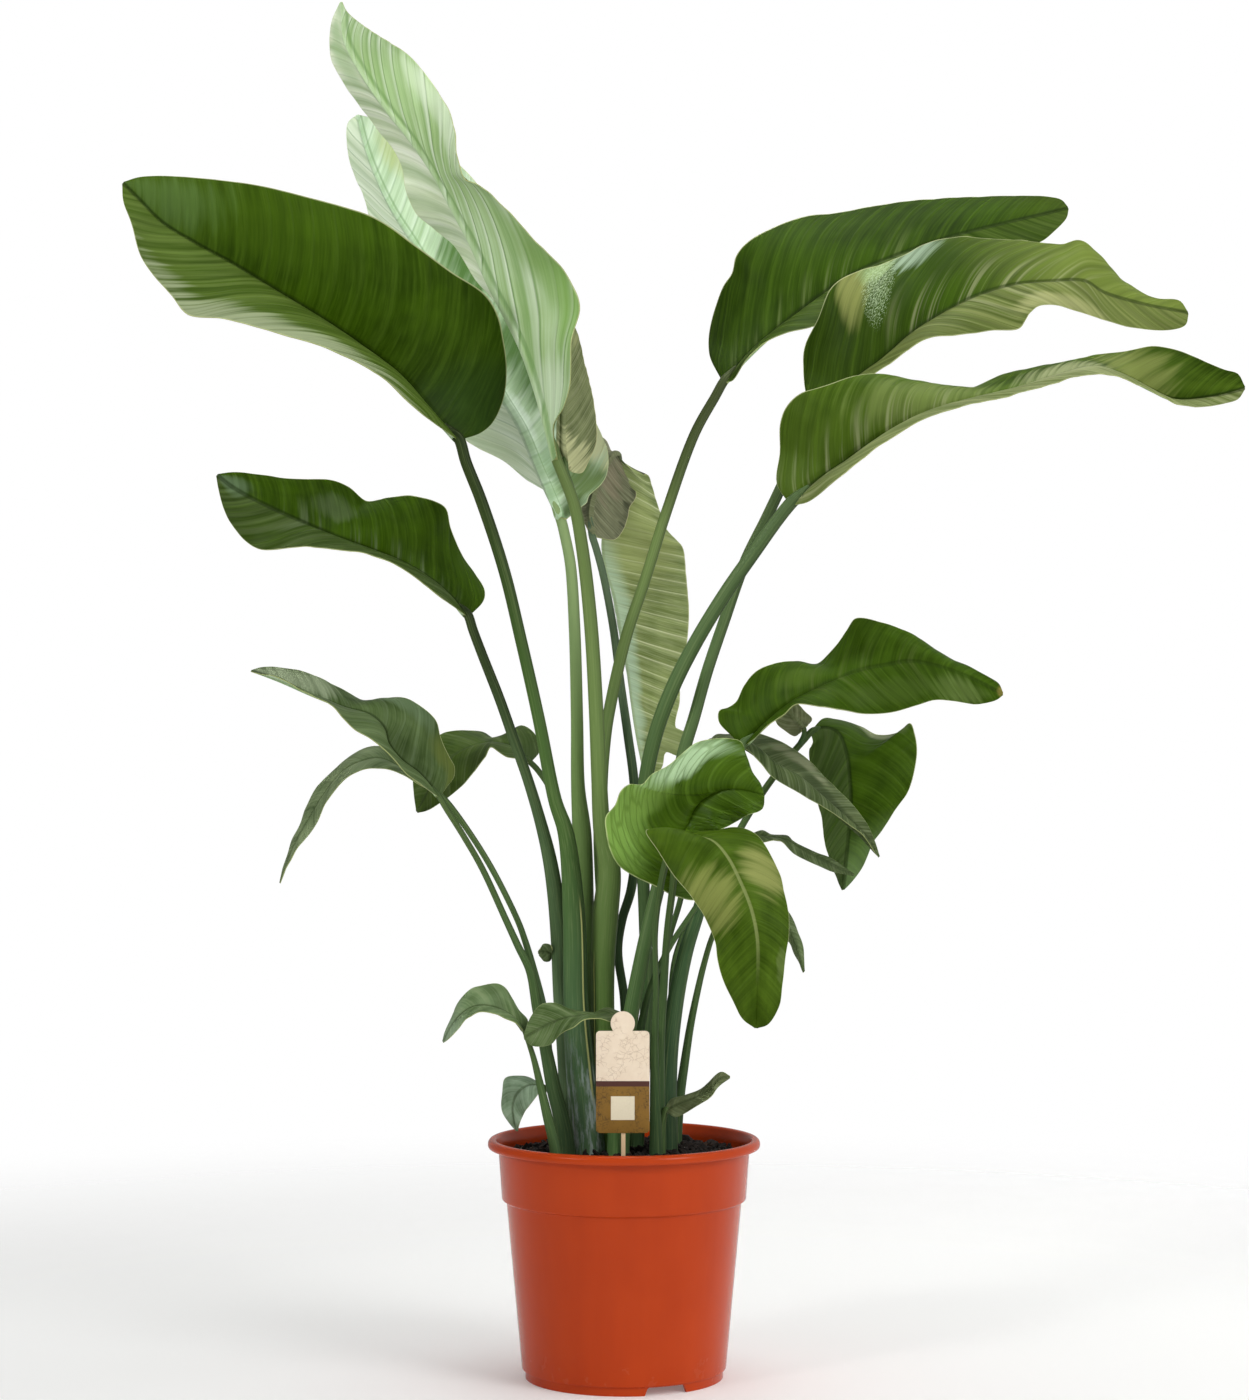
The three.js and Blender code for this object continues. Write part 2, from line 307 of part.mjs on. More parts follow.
function curveOf(points) {
  return new THREE.CatmullRomCurve3(points.map(([x, z, y = 0]) => new THREE.Vector3(x, y, z)), false, "centripetal");
}

// The blade's middle surface: u runs from the stalk to the tip, v from the left edge at -1 over the rib to the right edge at 1.
// Its waves swing along the sight lines, so that its outline from the front stays the one set out above.
function bladeOf(leaf, grow = 0) {
  const rib = curveOf(leaf.rib);
  const edges = { right: curveOf(leaf.right), left: curveOf(leaf.left) };
  const neck = leaf.stalk.at(-1)[3];
  const peak = leaf.peak ?? 0.6;

  function reach(u, side) {
    const share = Math.min(Math.max(u, 0.001), 0.999);
    const half = leaf.half[side === "right" ? 0 : 1] * Math.sin(Math.PI * share ** peak) ** 0.75;
    const a = rib.getPointAt(share);
    const b = edges[side].getPointAt(share);
    return Math.sqrt(Math.max(0, half * half - (a.x - b.x) ** 2 - (a.z - b.z) ** 2));
  }

  function lean(u, side) {
    let sum = 0;
    for (const step of [-0.08, -0.04, 0, 0.04, 0.08]) sum += reach(Math.min(Math.max(u + step, 0), 1), side);
    const ends = Math.min(1, u * 12, (1 - u) * 12);
    return (leaf.leans[side === "right" ? 0 : 1] * sum * ends) / 5;
  }

  function edgePoint(u, side) {
    const inner = rib.getPointAt(u);
    const outer = edges[side].getPointAt(u);
    return place(outer.x, outer.z, inner.y + lean(u, side));
  }

  const ribPoint = (u) => {
    const p = rib.getPointAt(u);
    return place(p.x, p.z, p.y);
  };

  function along(u) {
    const a = Math.max(u - 0.02, 0);
    const b = Math.min(u + 0.02, 1);
    return ribPoint(b).sub(ribPoint(a)).normalize();
  }

  return (u, v) => {
    const side = v < 0 ? "left" : "right";
    const t = Math.abs(v);
    const inside = Math.min(Math.max(u, 0.06), 0.94);
    const spread = edgePoint(inside, "right").sub(edgePoint(inside, "left")).normalize();
    const margin = 1.2 + grow + neck * 0.7 * (1 - u) ** 6;
    const middle = ribPoint(u);
    const edge = edgePoint(u, side).addScaledVector(spread, v < 0 ? -margin : margin);
    const across = v < 0 ? middle.clone().sub(edge) : edge.clone().sub(middle);
    const width = across.length();
    const up = along(u).cross(across).normalize().multiplyScalar(leaf.face === "under" ? 1 : -1);
    const calm = Math.min(1, u * 6, (1 - u) * 6);
    const bow = leaf.bow[v < 0 ? 1 : 0] * width * 4 * t * (1 - t);
    const wave = leaf.wave * t * t * calm * Math.sin(2 * Math.PI * (leaf.waves * u + (v < 0 ? 0.35 : 0)));
    const point = middle.lerp(edge, t);
    const outward = point.clone().sub(eye).normalize().multiplyScalar(leaf.face === "under" ? 1 : -1);
    return point.addScaledVector(up, bow + 0.25 * wave).addScaledVector(outward, wave);
  };
}

// A closed blade of even thickness, split into triangles alike on both faces, with a keel under the rib.
// Grown a little it cuts the stalk's end to a seat.
function bladeMesh(leaf, grow = 0) {
  const rows = leaf.small ? 9 : 13;
  const cells = leaf.small ? 4 : 6;
  const surface = bladeOf(leaf, grow);
  const neck = leaf.stalk.at(-1)[3];
  const vAt = (j) => -1 + (2 * j) / cells;
  const points = [];
  const step = 0.01;
  const start = surface(0.02, 0).sub(surface(0, 0)).normalize();
  for (let i = 0; i <= rows; i++) {
    const u = i / rows;
    for (let j = 0; j <= cells; j++) {
      const v = vAt(j);
      const middle = surface(u, v);
      const du = surface(Math.min(u + step, 1), v).sub(surface(Math.max(u - step, 0), v));
      const dv = surface(u, Math.min(v + 0.1, 1)).sub(surface(u, Math.max(v - 0.1, -1)));
      const normal = du.cross(dv).normalize();
      const keel = j === cells / 2 ? neck * 0.9 * (1 - u) ** 0.7 : 0;
      const down = leaf.face === "under" ? -1 : 1; // which side of the blade is its underside
      const over = bladeThickness / 2 + grow + (down > 0 ? keel : 0);
      const beneath = bladeThickness / 2 + grow + (down < 0 ? keel : 0);
      if (i === 0) middle.addScaledVector(start, -grow);
      points.push(middle.clone().addScaledVector(normal, over), middle.clone().addScaledVector(normal, -beneath));
    }
  }
  const at = (i, j, face) => 2 * (i * (cells + 1) + j) + face;
  const faces = [];
  const quad = (a, b, c, d) => faces.push(a, b, c, a, c, d);
  for (let i = 0; i < rows; i++) {
    for (let j = 0; j < cells; j++) {
      quad(at(i, j, 0), at(i + 1, j, 0), at(i + 1, j + 1, 0), at(i, j + 1, 0));
      faces.push(at(i, j, 1), at(i + 1, j + 1, 1), at(i + 1, j, 1), at(i, j, 1), at(i, j + 1, 1), at(i + 1, j + 1, 1));
    }
    quad(at(i, 0, 0), at(i, 0, 1), at(i + 1, 0, 1), at(i + 1, 0, 0));
    quad(at(i, cells, 0), at(i + 1, cells, 0), at(i + 1, cells, 1), at(i, cells, 1));
  }
  for (let j = 0; j < cells; j++) {
    quad(at(0, j, 0), at(0, j + 1, 0), at(0, j + 1, 1), at(0, j, 1));
    quad(at(rows, j, 0), at(rows, j, 1), at(rows, j + 1, 1), at(rows, j + 1, 0));
  }
  return geometryOf(points, faces);
}

function geometryOf(points, faces) {
  const geometry = new THREE.BufferGeometry().setFromPoints(points);
  geometry.setIndex(faces);
  return geometry;
}

const inSoil = (leaf) => leaf.stalk[0][1] === 230;

// A stalk along its line, wider from side to side than from front to back
function stalkMesh(leaf, grow = 0) {
  const controls = [...leaf.stalk, leaf.rib[0]].map(([x, z, y]) => place(x, z, y));
  const radii = leaf.stalk.map((p) => p[3]);
  radii.push(radii.at(-1));
  if (inSoil(leaf)) {
    controls[0].z = soilTop + 10;
    controls.unshift(controls[0].clone().setZ(plantFoot - grow));
    radii.unshift(radii[0]);
  }
  const line = new THREE.CatmullRomCurve3(controls, false, "centripetal");
  const sides = 8;
  const spans = controls.length - 1;
  const rows = spans;
  const rings = [];
  for (let i = 0; i <= rows; i++) {
    const t = i / rows;
    const middle = line.getPoint(t);
    const along = line.getTangent(t);
    const across = new THREE.Vector3(0, 1, 0).cross(along).normalize();
    const back = along.clone().cross(across);
    const k = Math.min(Math.floor(t * spans), spans - 1);
    const radius = THREE.MathUtils.lerp(radii[k], radii[k + 1], t * spans - k) + grow;
    rings.push(Array.from({ length: sides }, (_, s) => {
      const angle = (2 * Math.PI * s) / sides;
      return middle.clone().addScaledVector(across, radius * Math.cos(angle)).addScaledVector(back, radius * stalkDepthShare * Math.sin(angle));
    }));
  }
  const points = rings.flat();
  const faces = [];
  for (let i = 0; i + 1 < rings.length; i++)
    for (let s = 0; s < sides; s++) {
      const a = i * sides + s;
      const b = i * sides + ((s + 1) % sides);
      faces.push(a, b, b + sides, a, b + sides, a + sides);
    }
  for (let s = 1; s + 1 < sides; s++) {
    const end = (rings.length - 1) * sides;
    faces.push(0, s + 1, s, end, end + s, end + s + 1);
  }
  return geometryOf(points, faces);
}

function solidOf(geometry) {
  const plain = geometry.clone();
  plain.deleteAttribute("normal");
  plain.deleteAttribute("uv");
  const merged = mergeVertices(plain, 1e-4);
  return new wasm.Manifold(new wasm.Mesh({
    numProp: 3,
    vertProperties: new Float32Array(merged.attributes.position.array),
    triVerts: new Uint32Array(merged.index.array),
  }));
}

function geometryFrom(solid) {
  const mesh = solid.getMesh();
  return new THREE.BufferGeometry()
    .setAttribute("position", new THREE.BufferAttribute(mesh.vertProperties, 3))
    .setIndex(new THREE.BufferAttribute(mesh.triVerts, 1));
}

// A closed turned solid from [radius, height] points that run anticlockwise in the half plane
function turned(profile, segments) {
  const shape = profile.map(([r, z]) => new THREE.Vector2(r, z));
  return solidOf(new THREE.LatheGeometry(shape, segments).rotateX(Math.PI / 2));
}

function potSolid() {
  const inner = (radius) => radius - wallThickness;
  const body = turned([
    [0, 0], [bossRadius, 0], [bossRadius - 1, floorUnderside], [footRadius - footWidth, floorUnderside], [footRadius - footWidth, 0],
    [footRadius, 0], [footRadius, wallFoot - 0.5], [wallFootRadius, wallFoot], [wallTopRadius, collarFoot - 2], [collarFootRadius, collarFoot],
    [collarTopRadius, rimTop - rimHeight], [rimRadius - 1, rimTop - rimHeight], [rimRadius, rimTop - rimHeight + 2], [rimRadius, rimTop - 3],
    [rimRadius - 2.5, rimTop], [mouthRadius + 1.5, rimTop], [mouthRadius, rimTop - 1.5], [mouthRadius - 3, rimTop - rimHeight],
    [inner(collarFootRadius), collarFoot + 1], [inner(wallTopRadius), collarFoot - 2.5], [inner(wallFootRadius) - 1, wallFoot + 3],
    [inner(wallFootRadius) - 4, floorUnderside + floorThickness], [0, floorUnderside + floorThickness],
  ], potSegments);
  const outline = new THREE.Shape([
    new THREE.Vector2(-notchWidth / 2, -1), new THREE.Vector2(notchWidth / 2, -1),
    new THREE.Vector2(notchTopWidth / 2, floorUnderside - 0.3), new THREE.Vector2(-notchTopWidth / 2, floorUnderside - 0.3),
  ]);
  const notch = solidOf(new THREE.ExtrudeGeometry(outline, { depth: 30, bevelEnabled: false }).rotateX(Math.PI / 2).translate(0, -80, 0));
  return notchAngles.reduce((solid, angle) => solid.subtract(notch.rotate([0, 0, angle])), body);
}

function soilSolid() {
  const radiusAt = (z) => THREE.MathUtils.mapLinear(z, wallFoot, collarFoot - 2, wallFootRadius, wallTopRadius) - wallThickness - gap - 1.4;
  const collarAt = (z) => THREE.MathUtils.mapLinear(z, collarFoot, rimTop, collarFootRadius, collarTopRadius) - wallThickness - gap - 1;
  const floor = floorUnderside + floorThickness + gap;
  const rough = [0.86, 0.66, 0.42, 0.2].map((share, k) => [collarAt(soilTop) * share, soilTop + soilMound * (1 - share) + (k % 2 ? 0.8 : -0.8)]);
  let soil = turned([
    [0, floor], [radiusAt(wallFoot) - 4, floor], [radiusAt(wallFoot), floor + 8], [radiusAt(collarFoot - 6), collarFoot - 6],
    [radiusAt(collarFoot - 6), collarFoot + 2], [collarAt(collarFoot + 4), collarFoot + 4], [collarAt(soilTop), soilTop], ...rough, [0, soilTop + soilMound],
  ], soilSegments);
  for (const leaf of leaves.filter(inSoil)) soil = soil.subtract(solidOf(stalkMesh(leaf, gap)));
  return soil.subtract(solidOf(stickGeometry(gap).translate(cardAcross, cardDepth, 0)));
}

// The label's pieces stand in the label's own group, with the card's front on y = 0
function stickGeometry(grow = 0) {
  return new THREE.BoxGeometry(stickWidth + 2 * grow, stickThickness + 2 * grow, stickTop - stickFoot + 2 * grow)
    .translate(0.5, cardThickness + gap + stickThickness / 2, (stickTop + stickFoot) / 2);
}

function cardGeometry() {
  const w = cardWidth / 2;
  const c = cardCorner;
  const head = headRadius;
  const shape = new THREE.Shape();
  shape.moveTo(-w + c, cardBottom);
  shape.lineTo(w - c, cardBottom);
  shape.absarc(w - c, cardBottom + c, c, -Math.PI / 2, 0, false);
  shape.absarc(w - c, cardTop - c, c, 0, Math.PI / 2, false);
  const open = Math.asin((headHeight - cardTop) / head);
  shape.absarc(0, headHeight, head, -open, Math.PI + open, false);
  shape.absarc(-w + c, cardTop - c, c, Math.PI / 2, Math.PI, false);
  shape.absarc(-w + c, cardBottom + c, c, Math.PI, 1.5 * Math.PI, false);
  return new THREE.ExtrudeGeometry(shape, { depth: cardThickness, bevelEnabled: false, curveSegments: 5 })
    .rotateX(Math.PI / 2).translate(0, cardThickness, 0);
}

const part = new THREE.Group();
part.name = "potted_bird_of_paradise";

const terracotta = new THREE.MeshStandardMaterial({ color: 0xb44123, roughness: 0.3, metalness: 0 });
const earth = new THREE.MeshStandardMaterial({ color: 0x2b211b, roughness: 0.95, metalness: 0 });
const card = new THREE.MeshStandardMaterial({ color: 0xe8d6be, roughness: 0.7, metalness: 0 });
const wood = new THREE.MeshStandardMaterial({ color: 0xd9bd97, roughness: 0.7, metalness: 0 });
const stalkGreen = new THREE.MeshStandardMaterial({ color: 0x5f7a43, roughness: 0.5, metalness: 0 });
const upperGreen = new THREE.MeshStandardMaterial({ color: 0x3c5a1c, roughness: 0.4, metalness: 0 });
const underGreen = new THREE.MeshStandardMaterial({ color: 0xa9bf92, roughness: 0.6, metalness: 0 });

function add(name, geometry, material, group = part) {
  const mesh = new THREE.Mesh(geometry, material);
  mesh.name = name;
  group.add(mesh);
}

const container = new THREE.Group();
const label = new THREE.Group();
const plant = new THREE.Group();
part.add(container, label, plant);
label.position.set(cardAcross, cardDepth, 0);

add("pot", geometryFrom(potSolid()), terracotta, container);
add("soil", geometryFrom(soilSolid()), earth, container);
add("label_card", geometryFrom(solidOf(cardGeometry())), card, label);
add("label_stick", geometryFrom(solidOf(stickGeometry())), wood, label);
for (const shoot of new Set(leaves.map((leaf) => leaf.shoot))) {
  const own = leaves.filter((leaf) => leaf.shoot === shoot);
  const stalks = wasm.Manifold.union(own.map((leaf) => solidOf(stalkMesh(leaf))));
  const blades = own.flatMap((leaf) => [solidOf(bladeMesh(leaf, gap)), solidOf(bladeMesh(leaf))]);
  const seated = blades.reduce((solid, blade) => solid.subtract(blade), stalks);
  const [body] = seated.decompose().sort((a, b) => b.volume() - a.volume());
  add("shoot_" + shoot, geometryFrom(body), stalkGreen, plant);
}
for (const leaf of leaves) add(leaf.name, bladeMesh(leaf), leaf.face === "under" ? underGreen : upperGreen, plant);

export default part;
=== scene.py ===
import math

import bmesh
import bpy
import numpy as np
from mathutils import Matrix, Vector


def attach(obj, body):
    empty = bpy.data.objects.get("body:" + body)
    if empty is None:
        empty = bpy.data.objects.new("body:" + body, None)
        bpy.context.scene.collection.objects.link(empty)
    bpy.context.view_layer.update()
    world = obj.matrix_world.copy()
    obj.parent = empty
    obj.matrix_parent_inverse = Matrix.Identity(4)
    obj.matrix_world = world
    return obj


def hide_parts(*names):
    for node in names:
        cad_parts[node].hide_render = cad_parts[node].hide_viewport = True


# A giant white bird of paradise in its nursery pot. Sizes in the dictionaries are millimetres, and the
# scene is in metres.
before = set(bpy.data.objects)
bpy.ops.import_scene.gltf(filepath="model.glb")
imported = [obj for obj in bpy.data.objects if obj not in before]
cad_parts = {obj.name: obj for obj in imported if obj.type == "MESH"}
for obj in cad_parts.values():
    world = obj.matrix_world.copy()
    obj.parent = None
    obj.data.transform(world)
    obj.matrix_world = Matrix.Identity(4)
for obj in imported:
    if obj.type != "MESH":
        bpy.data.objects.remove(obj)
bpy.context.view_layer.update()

sight = {"distance": 3300, "height": 676, "across": 0.5, "lens": 84.857, "sensor": 36, "farthest": 50}

view = bpy.data.cameras.new("view")
view.lens = sight["lens"]
view.sensor_width = sight["sensor"]
view.clip_end = sight["farthest"]
viewer = bpy.data.objects.new("view", view)
viewer.location = (sight["across"] / 1000, -sight["distance"] / 1000, sight["height"] / 1000)
viewer.rotation_euler = (math.pi / 2, 0, 0)
bpy.context.scene.collection.objects.link(viewer)
bpy.context.scene.camera = viewer
bpy.context.scene.view_settings.view_transform = "Standard"
print("camera ready")


def paint(red, green, blue):
    # screen values from 0 to 255 to the linear ones that shaders use
    return [((c / 255 + 0.055) / 1.055) ** 2.4 if c > 10 else c / 3295 for c in (red, green, blue)]


class Wire:
    # one socket of a finish, so that sums on it can be written as Python
    def __init__(self, finish, socket):
        self.finish = finish
        self.socket = socket

    def math(self, operation, *others):
        return self.finish.node("Math", {"operation": operation}, dict(enumerate((self, *others))))

    def __add__(self, other):
        return self.math("ADD", other)

    def __sub__(self, other):
        return self.math("SUBTRACT", other)

    def __mul__(self, other):
        return self.math("MULTIPLY", other)

    def __truediv__(self, other):
        return self.math("DIVIDE", other)

    def __pow__(self, other):
        return self.math("POWER", other)

    def __rsub__(self, other):
        return self.finish.node("Math", {"operation": "SUBTRACT"}, {0: other, 1: self})

    def __rtruediv__(self, other):
        return self.finish.node("Math", {"operation": "DIVIDE"}, {0: other, 1: self})

    __radd__ = __add__
    __rmul__ = __mul__

    def above(self, edge, soft):
        # 0 below the edge, 1 above it, smooth over the width soft
        return self.finish.node("MapRange", {"interpolation_type": "SMOOTHSTEP"},
                                {0: self, 1: edge - soft / 2, 2: edge + soft / 2, 3: 0, 4: 1})

    def below(self, edge, soft):
        return 1 - self.above(edge, soft)


class Finish:
    def __init__(self, name):
        self.material = bpy.data.materials.new(name)
        self.material.use_nodes = True
        self.tree = self.material.node_tree
        self.tree.nodes.clear()

    def node(self, kind, settings=None, values=None, out=0):
        made = self.tree.nodes.new("ShaderNode" + kind)
        for key, value in (settings or {}).items():
            setattr(made, key, value)
        for key, value in (values or {}).items():
            socket = made.inputs[key]
            if isinstance(value, Wire):
                self.tree.links.new(value.socket, socket)
            elif isinstance(value, (list, tuple)) and socket.type == "RGBA":
                socket.default_value = (*value, 1)
            else:
                socket.default_value = value
        return Wire(self, made.outputs[out]) if len(made.outputs) else None

    def mix(self, share, first, second):
        settings = {"data_type": "RGBA", "clamp_factor": True}
        return self.node("Mix", settings, {0: share, 6: first, 7: second}, 2)

    def over(self, colour, share, tint):
        # a tint in screen values laid over the colour by a share
        return self.mix(share, colour, paint(*tint))

    def noise(self, vector, scale, detail=3, rough=0.55):
        values = {"Vector": vector, "Scale": scale, "Detail": detail, "Roughness": rough}
        return self.node("TexNoise", {}, values)

    def place(self):
        # where each point lies in the scene, in metres
        return self.node("TexCoord", {}, {}, 3)

    def spot(self, across, up, away=0):
        # a vector from numbers that vary
        return self.node("CombineXYZ", {}, {0: across, 1: up, 2: away})

    def stretched(self, vector, by):
        return self.node("VectorMath", {"operation": "MULTIPLY"}, {0: vector, 1: by})

    def scaled(self, colour, by):
        return self.node("VectorMath", {"operation": "SCALE"}, {0: colour, "Scale": by})

    def split(self, vector, parts=3):
        return [self.node("SeparateXYZ", {}, {0: vector}, axis) for axis in range(parts)]

    def close(self, colour, rough, bump=None, depth=0.001, **fixed):
        values = {"Base Color": colour, "Roughness": rough}
        if bump is not None:
            values["Normal"] = self.node("Bump", {}, {"Strength": 1, "Distance": depth, "Height": bump})
        values.update({key.replace("_", " "): value for key, value in fixed.items()})
        shader = self.node("BsdfPrincipled", {}, values)
        self.node("OutputMaterial", {}, {0: shader})
        return self.material


